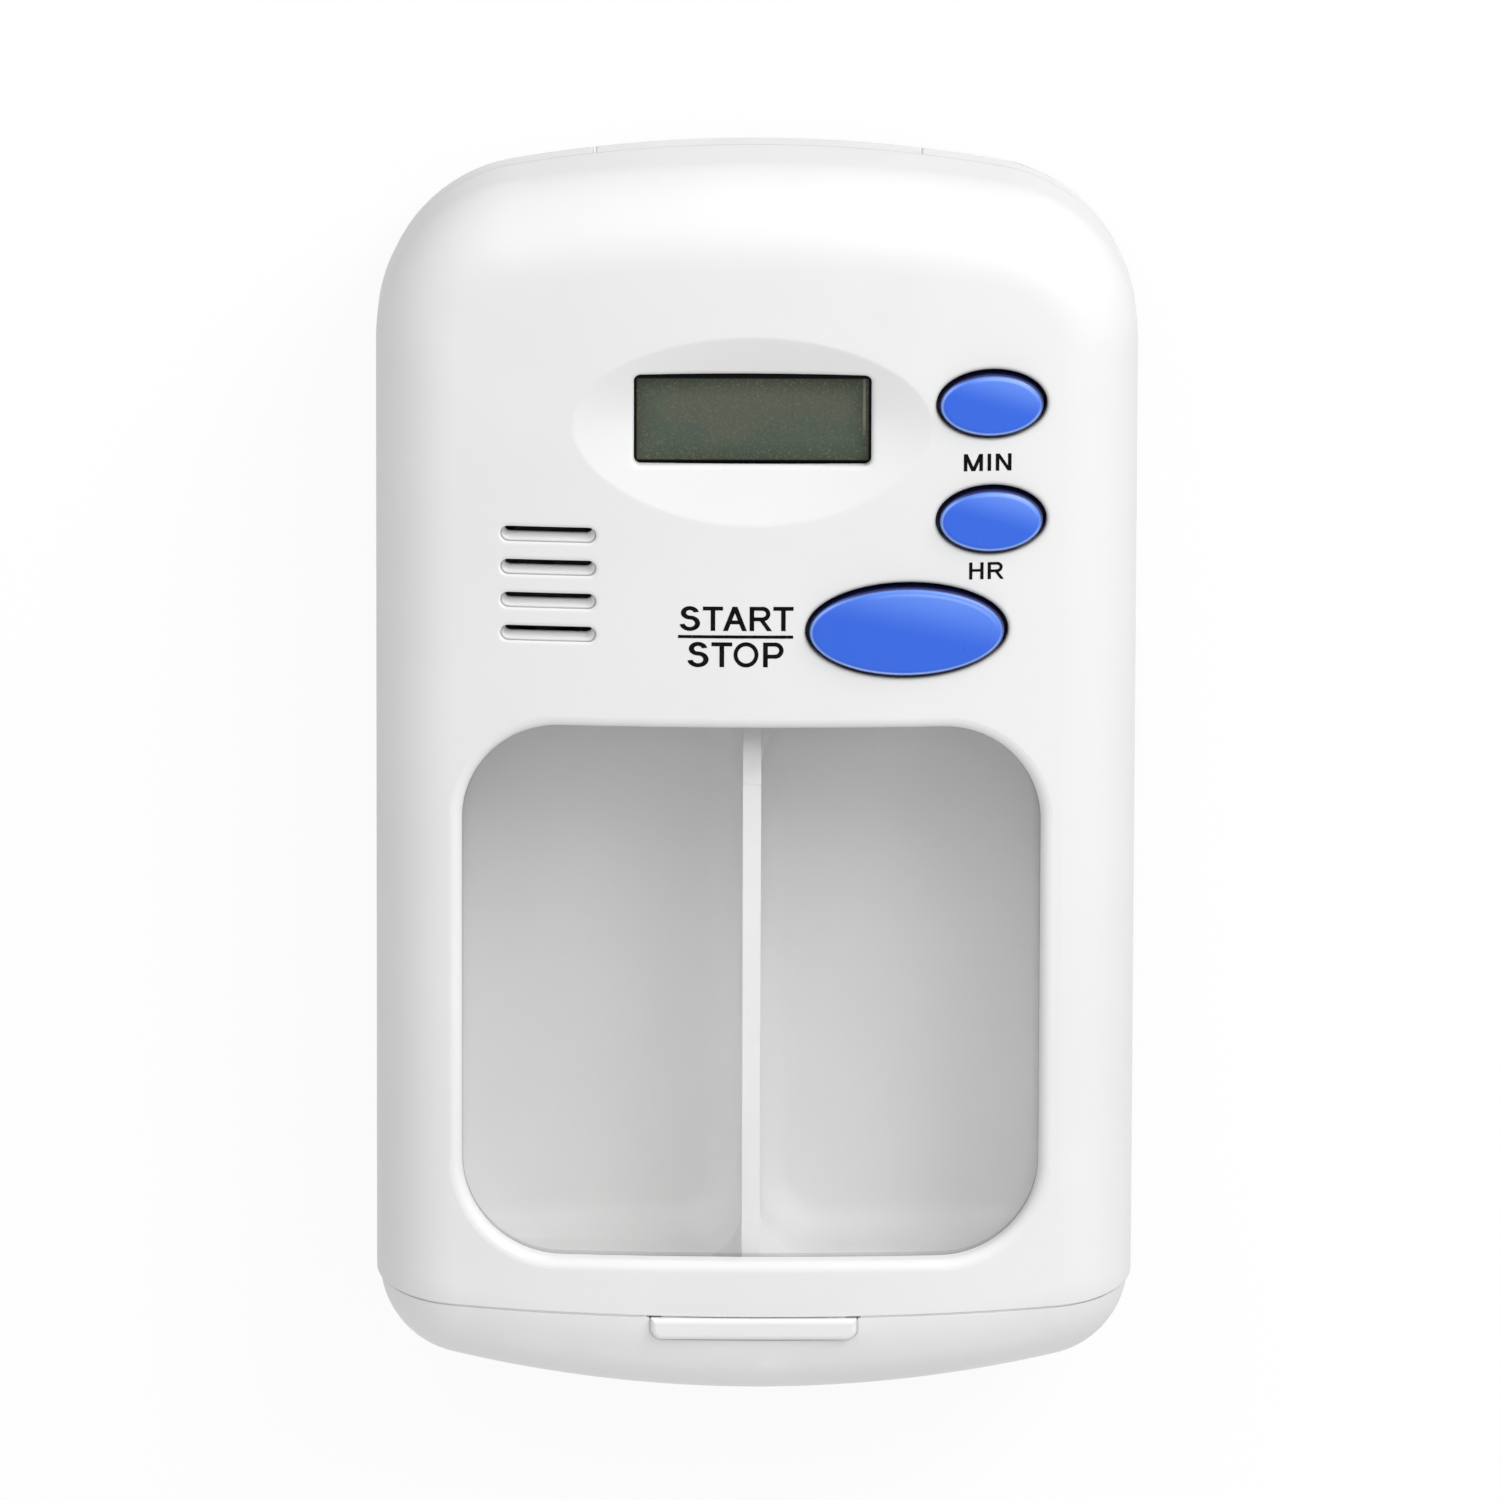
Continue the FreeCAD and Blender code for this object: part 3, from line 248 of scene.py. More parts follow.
class SurfaceGroups:
    """Node groups that several finishes share, each made once."""

    STREAK_SHAPE: Size = (1.0, 0.35, 1.0)
    MARKS_PER_PATCH = 2.7
    PATCH_SPAN: Span = (0.35, 0.65)
    MARK_SPAN: Span = (0.48, 0.66)
    # These values shape a button cap's painted light: sheen on the side toward the lamps, highlights on a
    # ridge and on the rim, and shade at the foot of the edge.
    LIGHT_SIDE: Size = (0.45, 0.89, 0.0)
    UPPER_SPAN: Span = (0.0, 0.6)
    SIDE_SPAN: Span = (-0.1, 1.0)
    RIDGE_WIDTH = 0.18 * MM
    RIDGE_SPAN: Span = (0.45, 0.9)
    RIDGE_LEVEL = 0.75
    RIM_INSET = 0.17 * MM
    RIM_WIDTH = 0.15 * MM
    RIM_LEVEL = 0.8
    RIM_UPPER_SHARE = 0.25
    FOOT_SPAN: Span = (0.02 * MM, 0.11 * MM)
    OVERHANG_SPAN: Span = (0.06 * MM, 0.24 * MM)
    DRAWN_SHAPE: Size = (1.0, 14.0, 14.0)
    TARNISH_SHARE = 0.6
    TARNISH_SPAN: Span = (0.4, 0.7)

    @staticmethod
    def shell(name: str, vectors: tuple[str, ...], values: tuple[str, ...],
              outputs: tuple[str, ...]) -> tuple[Graph, Sockets, Sockets]:
        """Start a group with its sockets.

        Args:
            name: The group's name.
            vectors: Its vector inputs.
            values: Its value inputs.
            outputs: Its outputs, which are values.

        Returns:
            The group's graph, its input sockets and its output sockets.
        """
        tree = bpy.data.node_groups.new(name, "ShaderNodeTree")
        for labels, way, kind in ((vectors, "INPUT", "Vector"), (values, "INPUT", "Float"),
                                  (outputs, "OUTPUT", "Float")):
            for label in labels:
                tree.interface.new_socket(label, in_out=way, socket_type="NodeSocket" + kind)
        graph = Graph(tree)
        entry = graph.add("NodeGroupInput")
        leave = graph.add("NodeGroupOutput")
        return graph, entry.outputs, leave.inputs

    @classmethod
    def moulded(cls) -> Tree:
        """Give the group for moulded plastic: fine grain, slow patches of tone and handling marks.

        Returns:
            The group's tree.
        """
        name = "moulded_surface"
        if name in bpy.data.node_groups:
            return bpy.data.node_groups[name]
        graph, entry, leave = cls.shell(name, ("Place",), ("Grain", "Patch"), ("Height", "Patches", "Marks"))
        grain = graph.noise(entry["Place"], entry["Grain"], detail=2.0)
        patches = graph.noise(entry["Place"], entry["Patch"], detail=3.0)
        streaks = graph.vector("MULTIPLY", entry["Place"], cls.STREAK_SHAPE)
        mark_scale = graph.combine("MULTIPLY", entry["Patch"], cls.MARKS_PER_PATCH)
        marks = graph.noise(streaks, mark_scale, detail=5.0)
        graph.feed(leave["Height"], grain)
        graph.feed(leave["Patches"], graph.between(patches, *cls.PATCH_SPAN, smooth=True))
        graph.feed(leave["Marks"], graph.between(marks, *cls.MARK_SPAN, smooth=True))
        return graph.tree

    @classmethod
    def oval_cap(cls) -> Tree:
        """Give the group for an oval cap: masks of painted highlights on its rim and on a ridge inside it,
        and of its upper side, which the cap's painted sheen follows.

        The shade is painted shade at the foot of the cap's edge, which the edge of its hole keeps dark; it is
        wider on the upper side.

        Returns:
            The group's tree.
        """
        name = "oval_cap"
        if name in bpy.data.node_groups:
            return bpy.data.node_groups[name]
        graph, entry, leave = cls.shell(name, ("Place", "Half Size"), ("Ridge Inset",),
                                        ("Rim", "Ridge", "Upper Side", "Shade"))
        flat = graph.vector("MULTIPLY", entry["Place"], (1.0, 1.0, 0.0))
        reach = graph.vector("LENGTH", flat)
        slope = graph.vector("LENGTH", graph.vector("DIVIDE", flat, entry["Half Size"]))
        inset = graph.combine("SUBTRACT", reach, graph.combine("MULTIPLY", reach, reach))
        inset = graph.combine("DIVIDE", inset, slope)
        along = graph.vector("DOT_PRODUCT", flat, cls.LIGHT_SIDE)
        upper = graph.between(along, *cls.UPPER_SPAN, smooth=True)
        off_ridge = graph.combine("ABSOLUTE", graph.combine("SUBTRACT", inset, entry["Ridge Inset"]))
        # Painted highlight along a ridge, only on the side toward the lamps.
        ridge = graph.between(off_ridge, 0.0, cls.RIDGE_WIDTH, 1.0, 0.0, smooth=True)
        ridge_level = graph.between(along, *cls.RIDGE_SPAN, 0.0, cls.RIDGE_LEVEL)
        off_rim = graph.combine("ABSOLUTE", graph.combine("SUBTRACT", inset, cls.RIM_INSET))
        # Painted highlight line along the rim, weaker on the upper side.
        rim = graph.between(off_rim, 0.0, cls.RIM_WIDTH, cls.RIM_LEVEL, 0.0, smooth=True)
        rim_share = graph.between(upper, 0.0, 1.0, 1.0, cls.RIM_UPPER_SHARE)
        # Painted shade at the foot of the edge all round, wider on the upper side.
        foot = graph.between(inset, *cls.FOOT_SPAN, 1.0, 0.0, smooth=True)
        overhang = graph.between(inset, *cls.OVERHANG_SPAN, 1.0, 0.0, smooth=True)
        graph.feed(leave["Rim"], graph.combine("MULTIPLY", rim, rim_share))
        graph.feed(leave["Ridge"], graph.combine("MULTIPLY", ridge, ridge_level))
        graph.feed(leave["Upper Side"], graph.between(along, *cls.SIDE_SPAN, smooth=True))
        graph.feed(leave["Shade"], graph.combine("MAXIMUM", foot, graph.combine("MULTIPLY", overhang, upper)))
        return graph.tree

    @classmethod
    def drawn_metal(cls) -> Tree:
        """Give the group for rolled or turned metal: fine lines and tarnish.

        Returns:
            The group's tree.
        """
        name = "drawn_metal"
        if name in bpy.data.node_groups:
            return bpy.data.node_groups[name]
        graph, entry, leave = cls.shell(name, ("Place",), ("Lines",), ("Height", "Tarnish"))
        drawn = graph.vector("MULTIPLY", entry["Place"], cls.DRAWN_SHAPE)
        tarnish_scale = graph.combine("MULTIPLY", entry["Lines"], cls.TARNISH_SHARE)
        tarnish = graph.noise(entry["Place"], tarnish_scale, detail=4.0)
        graph.feed(leave["Height"], graph.noise(drawn, entry["Lines"], detail=2.0))
        graph.feed(leave["Tarnish"], graph.between(tarnish, *cls.TARNISH_SPAN, smooth=True))
        return graph.tree


@dataclass(frozen=True)
class Finish:
    """A surface finish with a name of its own."""

    name: str

    def material(self) -> bpy.types.Material:
        """Give the finish's material, made the first time that it is asked for.

        Returns:
            The material.
        """
        made = bpy.data.materials.get(self.name)
        if made is None:
            made = bpy.data.materials.new(self.name)
            made.use_nodes = True
            graph = Graph(made.node_tree)
            self.wire(graph, made.node_tree.nodes["Principled BSDF"])
        return made

    def wire(self, graph: Graph, shader: Node) -> None:
        """Feed the material's shader; each finish has its own way."""
        raise NotImplementedError

    @staticmethod
    def moulded(graph: Graph, grain_per_mm: float, patch_per_mm: float) -> Sockets:
        """Place the moulded group, with its grain and patches in a millimetre, and give its outputs."""
        inputs = {"Place": graph.place(), "Grain": grain_per_mm * PER_MM, "Patch": patch_per_mm * PER_MM}
        return graph.group(SurfaceGroups.moulded(), inputs).outputs


@dataclass(frozen=True)
class MouldedPlastic(Finish):
    """Moulded plastic with fine grain and slight handling marks."""

    tint: Colour
    shade: Colour
    rough_low: float = 0.42
    rough_high: float = 0.52
    grain_per_mm: float = 9.0
    patch_per_mm: float = 0.06
    grain_strength: float = 0.10
    grain_depth: float = 0.01 * MM
    refraction: float = 1.53

    def wire(self, graph: Graph, shader: Node) -> None:
        """Feed colour, roughness and bump from the moulded group."""
        surface = self.moulded(graph, self.grain_per_mm, self.patch_per_mm)
        graph.fill(shader, {
            "Base Color": graph.mix(surface["Patches"], self.tint, self.shade),
            "Roughness": graph.between(surface["Marks"], 0.0, 1.0, self.rough_high, self.rough_low),
            "Normal": graph.bump(surface["Height"], self.grain_strength, self.grain_depth, self.edges(graph)),
            "IOR": self.refraction})

    def edges(self, graph: Graph) -> Socket | None:
        """Give the normal under the grain; None keeps the surface's own."""
        return None


@dataclass(frozen=True)
class ShellPlastic(MouldedPlastic):
    """Moulded plastic whose edges look broken: hardly at the window end, and softly round the display."""

    crisp_edge: float = 0.10 * MM
    soft_edge: float = 0.42 * MM
    crisp_until: float = 4.5 * MM
    soft_from: float = 9.0 * MM
    edge_samples: int = 8

    def edges(self, graph: Graph) -> Socket | None:
        """Give a normal that turns slowly across sharp edges.

        Args:
            graph: The material's graph.

        Returns:
            The normal.
        """
        along = graph.add("ShaderNodeSeparateXYZ", {0: graph.place()}).outputs["Y"]
        radius = graph.between(along, self.crisp_until, self.soft_from, self.crisp_edge, self.soft_edge)
        return graph.add("ShaderNodeBevel", {"Radius": radius}, samples=self.edge_samples).outputs["Normal"]


@dataclass(frozen=True)
class ButtonPlastic(Finish):
    """Coloured plastic of an oval push button, with painted sheen toward its upper side, painted highlights
    on its rim and a ridge, and painted shade at the foot of its edge.
    """

    centre: Size
    reach: Size
    low_tint: Colour = (0.020, 0.121, 0.715)
    # Painted sheen: the tint that the cap takes toward its upper side.
    painted_sheen_tint: Colour = (0.116, 0.265, 0.885)
    # Painted highlight on the rim and the ridge.
    highlight_tint: Colour = (0.300, 0.480, 0.960)
    # Painted shade at the foot of the cap's edge.
    painted_shade_tint: Colour = (0.001, 0.003, 0.060)
    ridge_share: float = 0.16
    roughness: Span = (0.24, 0.34)
    grain_per_mm: float = 7.0
    patch_per_mm: float = 0.25
    grain_strength: float = 0.06
    grain_depth: float = 0.01 * MM
    refraction: float = 1.5

    def wire(self, graph: Graph, shader: Node) -> None:
        """Feed the painted sheen, highlights and shade from the oval group, and grain and marks from the
        moulded group.
        """
        oval = graph.group(SurfaceGroups.oval_cap(), {
            "Place": graph.place(Vector(self.centre), Vector(self.reach)), "Half Size": self.reach,
            "Ridge Inset": self.ridge_share * self.reach[1]}).outputs
        surface = self.moulded(graph, self.grain_per_mm, self.patch_per_mm)
        # Painted sheen: the cap gets lighter toward its upper side.
        slope = graph.mix(oval["Upper Side"], self.low_tint, self.painted_sheen_tint)
        # Painted highlights on the rim and the ridge.
        highlighted = graph.mix(graph.combine("MAXIMUM", oval["Rim"], oval["Ridge"]), slope, self.highlight_tint)
        glossy, dull = self.roughness
        graph.fill(shader, {
            # Painted shade at the foot of the cap's edge.
            "Base Color": graph.mix(oval["Shade"], highlighted, self.painted_shade_tint),
            "Roughness": graph.between(surface["Marks"], 0.0, 1.0, dull, glossy),
            "Normal": graph.bump(surface["Height"], self.grain_strength, self.grain_depth),
            "IOR": self.refraction})


@dataclass(frozen=True)
class ClearPane(Finish):
    """Clear moulded sheet that lets light and shadow through, with a thin shade at its seat."""

    centre: Size
    half: Size
    corner: float = 7.3 * MM
    line_width: float = 0.09 * MM
    line_tint: Colour = (0.66, 0.66, 0.66)
    line_core: float = 0.4
    roughness: Span = (0.03, 0.08)
    refraction: float = 1.49
    tint: Colour = (0.97, 0.97, 0.97)
    clearness: float = 0.97
    grain_per_mm: float = 1.0
    patch_per_mm: float = 0.08

    def wire(self, graph: Graph, shader: Node) -> None:
        """Feed the edge's shade to the colour and marks to the roughness, and let shadow rays pass."""
        surface = self.moulded(graph, self.grain_per_mm, self.patch_per_mm)
        margin = graph.margin(Vector(self.centre), Vector(self.half), self.corner)
        line_start = self.line_width * self.line_core
        line = graph.between(margin, line_start, self.line_width, 1.0, 0.0, smooth=True)
        graph.fill(shader, {
            "Base Color": graph.mix(line, self.tint, self.line_tint),
            "Roughness": graph.between(surface["Marks"], 0.0, 1.0, *self.roughness),
            "Transmission Weight": self.clearness,
            "IOR": self.refraction})
        path = graph.add("ShaderNodeLightPath")
        through = graph.add("ShaderNodeBsdfTransparent", {"Color": opaque(self.tint)})
        both = graph.add("ShaderNodeMixShader", {
            0: path.outputs["Is Shadow Ray"], 1: shader.outputs["BSDF"], 2: through.outputs["BSDF"]})
        graph.feed(graph.tree.nodes["Material Output"].inputs["Surface"], both.outputs[0])


@dataclass(frozen=True)
class DisplayGlass(Finish):
    """Unlit reflective display behind its front glass: grey-green with a fine speckle."""

    centre: Size
    half_width: float
    half_height: float
    edge_tint: Colour = (0.068, 0.079, 0.059)
    olive_tint: Colour = (0.102, 0.112, 0.084)
    teal_tint: Colour = (0.080, 0.107, 0.085)
    speckle_tint: Colour = (0.150, 0.157, 0.118)
    line_tint: Colour = (0.001, 0.001, 0.001)
    # Painted reflection: the tint of a pale streak near one side of the glass.
    painted_reflection_tint: Colour = (0.300, 0.290, 0.230)
    streak_width: float = 0.17 * MM
    line_width: float = 0.28 * MM
    shade_width: float = 1.9 * MM
    streak_inset: float = 0.52 * MM
    speckle_per_mm: float = 7.0
    cloud_per_mm: float = 0.22
    cloud_span: Span = (0.3, 0.7)
    hue_span: Span = (0.4, 0.6)
    speckle_span: Span = (0.52, 0.78)
    dimmest: float = 0.75
    streak_level: float = 0.7
    streak_foot: float = -0.5
    line_core: float = 0.5
    roughness: Span = (0.3, 0.42)
    gloss: float = 0.08

    def wire(self, graph: Graph, shader: Node) -> None:
        """Feed clouds, speckle, a shaded edge with its dark line, and a painted reflection as one pale streak
        to the colour.
        """
        place = graph.place()
        local = graph.add("ShaderNodeSeparateXYZ", {0: graph.place(Vector(self.centre))}).outputs
        from_side = graph.combine("SUBTRACT", self.half_width, graph.combine("ABSOLUTE", local["X"]))
        from_end = graph.combine("SUBTRACT", self.half_height, graph.combine("ABSOLUTE", local["Y"]))
        margin = graph.combine("MINIMUM", from_side, from_end)
        clouds = graph.noise(place, self.cloud_per_mm * PER_MM, detail=3.0)
        inward = graph.between(margin, 0.0, self.shade_width, smooth=True)
        lit = graph.between(clouds, *self.cloud_span, self.dimmest, 1.0)
        hue = graph.mix(graph.between(clouds, *self.hue_span, smooth=True), self.teal_tint, self.olive_tint)
        tone = graph.mix(graph.combine("MULTIPLY", inward, lit), self.edge_tint, hue)
        speckle = graph.noise(place, self.speckle_per_mm * PER_MM, detail=3.0)
        tone = graph.mix(graph.between(speckle, *self.speckle_span), tone, self.speckle_tint)
        # Painted reflection: a pale streak near the right edge, fading toward the bottom.
        streak = graph.combine("SUBTRACT", self.half_width - self.streak_inset, local["X"])
        streak = graph.combine("ABSOLUTE", streak)
        streak = graph.between(streak, 0.0, self.streak_width, self.streak_level, 0.0, smooth=True)
        fading = graph.between(local["Y"], self.streak_foot * self.half_height, 0.0)
        tone = graph.mix(graph.combine("MULTIPLY", streak, fading), tone, self.painted_reflection_tint)
        line_start = self.line_width * self.line_core
        line = graph.between(margin, line_start, self.line_width, 1.0, 0.0, smooth=True)
        graph.fill(shader, {
            "Base Color": graph.mix(line, tone, self.line_tint),
            "Roughness": graph.between(clouds, *self.cloud_span, *self.roughness),
            "Specular IOR Level": self.gloss})


@dataclass(frozen=True)
class PrintedInk(Finish):
    """Pad-printed ink, slightly uneven."""

    tint: Colour = (0.002, 0.002, 0.002)
    thin_tint: Colour = (0.010, 0.010, 0.011)
    cover_per_mm: float = 2.2
    cover_span: Span = (0.45, 0.75)
    roughness: Span = (0.7, 0.91)
    gloss: float = 0.06

    def wire(self, graph: Graph, shader: Node) -> None:
        """Feed uneven cover to the colour and the roughness."""
        cover = graph.noise(graph.place(), self.cover_per_mm * PER_MM, detail=4.0)
        cover = graph.between(cover, *self.cover_span)
        graph.fill(shader, {
            "Base Color": graph.mix(cover, self.tint, self.thin_tint),
            "Roughness": graph.between(cover, 0.0, 1.0, *self.roughness),
            "Specular IOR Level": self.gloss})


@dataclass(frozen=True)
class DrawnMetal(Finish):
    """Plated or bare metal with fine lines and a little tarnish."""

    tint: Colour
    tarnish_tint: Colour
    lines_per_mm: float = 1.2
    rough_low: float = 0.22
    rough_high: float = 0.42
    line_strength: float = 0.08
    line_depth: float = 0.01 * MM

    def wire(self, graph: Graph, shader: Node) -> None:
        """Feed colour, roughness and bump from the metal group."""
        metal = graph.group(SurfaceGroups.drawn_metal(), {
            "Place": graph.place(), "Lines": self.lines_per_mm * PER_MM}).outputs
        graph.fill(shader, {
            "Base Color": graph.mix(metal["Tarnish"], self.tint, self.tarnish_tint),
            "Roughness": graph.between(metal["Tarnish"], 0.0, 1.0, self.rough_low, self.rough_high),
            "Normal": graph.bump(metal["Height"], self.line_strength, self.line_depth),
            "Metallic": 1.0})


@dataclass(frozen=True)
class CircuitLaminate(Finish):
    """Solder mask over etched tracks."""

    mask_tint: Colour = (0.012, 0.085, 0.030)
    track_tint: Colour = (0.030, 0.165, 0.060)
    track_per_mm: float = 0.45
    track_span: Span = (0.42, 0.5)
    etch_strength: float = 0.3
    etch_depth: float = 0.03 * MM
    roughness: float = 0.32

    def wire(self, graph: Graph, shader: Node) -> None:
        """Feed square track lines to the colour and the bump."""
        inputs = {"Vector": graph.place(), "Scale": self.track_per_mm * PER_MM}
        cells = graph.add("ShaderNodeTexVoronoi", inputs, distance="MANHATTAN", feature="F1")
        tracks = graph.between(cells.outputs["Distance"], *self.track_span, smooth=True)
        graph.fill(shader, {
            "Base Color": graph.mix(tracks, self.mask_tint, self.track_tint),
            "Normal": graph.bump(tracks, self.etch_strength, self.etch_depth),
            "Roughness": self.roughness})


class Finishes:
    """The finishes of this object, by what they are."""

    WHITES = (0.835, 0.835, 0.832), (0.815, 0.816, 0.816)
    OUTER_WHITE = ShellPlastic("outer_white", *WHITES)
    SILL_WHITE = MouldedPlastic("sill_white", *WHITES)
    INNER_WHITE = MouldedPlastic("inner_white_satin", (0.800, 0.800, 0.795), (0.780, 0.781, 0.780))
    HOLDER_WHITE = MouldedPlastic("holder_white_matt", (0.740, 0.742, 0.740), (0.720, 0.722, 0.722), 0.5, 0.6)
    PLUNGER_WHITE = MouldedPlastic(
        "plunger_white_matt", (0.700, 0.700, 0.690), (0.680, 0.682, 0.680), 0.5, 0.6)
    RESIN = MouldedPlastic("black_resin", (0.012, 0.012, 0.013), (0.020, 0.020, 0.021), 0.3, 0.5)
    RUBBER = MouldedPlastic("strip_rubber_pink", (0.420, 0.250, 0.250), (0.380, 0.220, 0.220), 0.6, 0.75)
    STEEL = DrawnMetal("zinc_steel", (0.58, 0.58, 0.57), (0.44, 0.43, 0.41))
    NICKEL = DrawnMetal("bright_nickel", (0.66, 0.65, 0.62), (0.52, 0.50, 0.46), 1.2, 0.14, 0.30)
    BRASS = DrawnMetal("spring_brass", (0.72, 0.52, 0.22), (0.50, 0.34, 0.14))
    FOIL = DrawnMetal("reflector_foil", (0.62, 0.64, 0.58), (0.54, 0.56, 0.50), 0.8, 0.35, 0.55)
    BOARD = CircuitLaminate("board_laminate")
    INK = PrintedInk("legend_ink")


def centre_and_reach(low: Vector, high: Vector) -> tuple[Vector, Vector]:
    """Give a box's middle and its half sizes."""
    return (low + high) / 2, (high - low) / 2


def paint(node: str, finish: Finish) -> None:
    """Give a node of the model a finish.

    Args:
        node: The node's name.
        finish: Its finish.
    """
    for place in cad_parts[node].material_slots:
        place.material = finish.material()
    LOG.info("%s: %s", node, finish.name)


def stand(name: str, data: bpy.types.ID) -> bpy.types.Object:
    """Put an object that shows some data in the scene.

    Args:
        name: The object's name.
        data: Its mesh, lamp or camera.

    Returns:
        The object, at the origin.
    """
    thing = bpy.data.objects.new(name, data)
    bpy.context.scene.collection.objects.link(thing)
    return thing


def surface_of(node: str) -> BVHTree:
    """Give the surface of a node of the model, to probe."""
    return BVHTree.FromObject(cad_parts[node], bpy.context.evaluated_depsgraph_get())


def height_at(surface: BVHTree, x: float, y: float) -> float:
    """Find how high a surface lies, probing from above the case."""
    start = Vector((x, y, CAD_BOX[1].z + PROBE_HEIGHT))
    return surface.ray_cast(start, Vector((0.0, 0.0, -1.0)))[0].z


def thicken(mesh: Mesh, shift: Size) -> None:
    """Draw a sheet out into a closed solid.

    Args:
        mesh: The sheet.
        shift: Where the sheet's far side lies from it.
    """
    skin = bmesh.ops.extrude_face_region(mesh, geom=mesh.faces[:])
    moved = [item for item in skin["geom"] if isinstance(item, bmesh.types.BMVert)]
    bmesh.ops.translate(mesh, vec=shift, verts=moved)
    bmesh.ops.recalc_face_normals(mesh, faces=mesh.faces[:])


def piece_from(name: str, mesh: Mesh, finish: Finish, body: Body) -> None:
    """Make a finished piece that rides on a body.

    Args:
        name: The piece's name.
        mesh: Its shape, in its place; it is freed here.
        finish: Its finish.
        body: The body that carries it.
    """
    data = bpy.data.meshes.new(name)
    mesh.to_mesh(data)
    mesh.free()
    data.materials.append(finish.material())
    piece = stand(name, data)
    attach(piece, body.value)
    LOG.info("%s: new piece on %s, %d faces", name, body.value, len(data.polygons))


@dataclass
class BaseTray:
    """Rear half of the case with the two pill wells, and its hinge pin.

    A thin lip on each side of the tab stands in the parting line above the chin, and a sill lines the
    sides of the tab's recess.
    """

    shell: str = "base_shell"
    pin: str = "hinge_pin"
    seam_front: float = -39.55 * MM
    seam_lean: float = 0.23
    lip_start: float = 7.9 * MM
    lip_end: float = 27.0 * MM
    lip_inset: float = 0.06 * MM
    lip_depth: float = 0.9 * MM
    lip_back: float = -0.078 * MM
    lip_thickness: float = 0.146 * MM
    lip_steps: int = 48
    probe_offset: float = 0.2 * MM
    probe_rounds: int = 4
    sill_half: float = 7.715 * MM
    sill_low: float = -41.265 * MM
    sill_length: float = 9.15 * MM
    sill_radius: float = 0.915 * MM
    sill_thickness: float = 0.10 * MM
    sill_inset: float = 0.01 * MM
    sill_depth: float = 0.7 * MM
    sill_cuts: int = 12
    sill_segments: int = 48

    def build(self) -> None:
        """Add the sill round the tab and the two lips, flush along the chin but for a shallow groove."""
        surface = surface_of(self.shell)
        piece_from("tab_sill", self.sill(surface), Finishes.SILL_WHITE, Body.BASE)
        for side, word in ((-1.0, "left"), (1.0, "right")):
            mesh = bmesh.new()
            bmesh.ops.create_grid(mesh, x_segments=self.lip_steps, y_segments=1, size=0.5)
            for vert in mesh.verts:
                x = side * (self.lip_start + (vert.co.x + 0.5) * (self.lip_end - self.lip_start))
                vert.co = self.on_seam(x, self.lip_inset + (0.5 - vert.co.y) * self.lip_depth, surface)
            thicken(mesh, (0.0, self.lip_thickness, 0.0))
            piece_from(f"seam_lip_{word}", mesh, Finishes.OUTER_WHITE, Body.BASE)

    def sill(self, surface: BVHTree) -> Mesh:
        """Make the sill: a ring round the tab, cut off at the parting line, just under the chin's surface.

        Args:
            surface: The base's surface.

        Returns:
            The sill's mesh.
        """
        mesh = bmesh.new()
        reach = Vector((self.sill_half, self.sill_length / 2, 0.0))
        corner = reach - Vector((self.sill_radius, self.sill_radius, 0.0))
        for radius in (self.sill_radius, self.sill_radius - self.sill_thickness):
            ring = bmesh.ops.create_circle(mesh, segments=self.sill_segments, radius=radius)["verts"]
            half_step = Matrix.Rotation(math.pi / self.sill_segments, 3, "Z")
            bmesh.ops.rotate(mesh, verts=ring, matrix=half_step)
            for vert in ring:
                vert.co.x += math.copysign(corner.x, vert.co.x)
                vert.co.y += math.copysign(corner.y, vert.co.y)
        bmesh.ops.bridge_loops(mesh, edges=mesh.edges[:])
        bmesh.ops.translate(mesh, vec=(0.0, self.sill_low + reach.y, 0.0), verts=mesh.verts)
        for index in range(1, self.sill_cuts):
            place = (2.0 * index / self.sill_cuts - 1.0) * corner.x
            bmesh.ops.bisect_plane(mesh, geom=mesh.verts[:] + mesh.edges[:] + mesh.faces[:],
                                   plane_co=(place, 0.0, 0.0), plane_no=(1.0, 0.0, 0.0))
        bmesh.ops.bisect_plane(mesh, geom=mesh.verts[:] + mesh.edges[:] + mesh.faces[:], clear_outer=True,
                               plane_co=(0.0, self.seam_front - self.sill_thickness, 0.0),
                               plane_no=(0.0, 1.0, 0.0))
        for vert in mesh.verts:
            beside = math.copysign(self.probe_offset, vert.co.x) if abs(vert.co.x) > corner.x else 0.0
            chin = height_at(surface, vert.co.x + beside, vert.co.y - self.probe_offset)
            vert.co.z = chin - self.sill_inset
        thicken(mesh, (0.0, 0.0, -self.sill_depth))
        return mesh

    def on_seam(self, x: float, drop: float, surface: BVHTree) -> Vector:
        """Find a point on the back of a lip.

        Args:
            x: How far along the chin.
            drop: How far under the chin's surface.
            surface: The base's surface.

        Returns:
            The point.
        """
        z = CASE_FRONT
        for _ in range(self.probe_rounds):
            z = height_at(surface, x, self.seam_front + (CASE_FRONT - z) * self.seam_lean - self.probe_offset)
        z -= drop
        return Vector((x, self.seam_front + (CASE_FRONT - z) * self.seam_lean + self.lip_back, z))

    def dress(self) -> None:
        """Paint the shell and the pin."""
        paint(self.shell, Finishes.OUTER_WHITE)
        paint(self.pin, Finishes.STEEL)


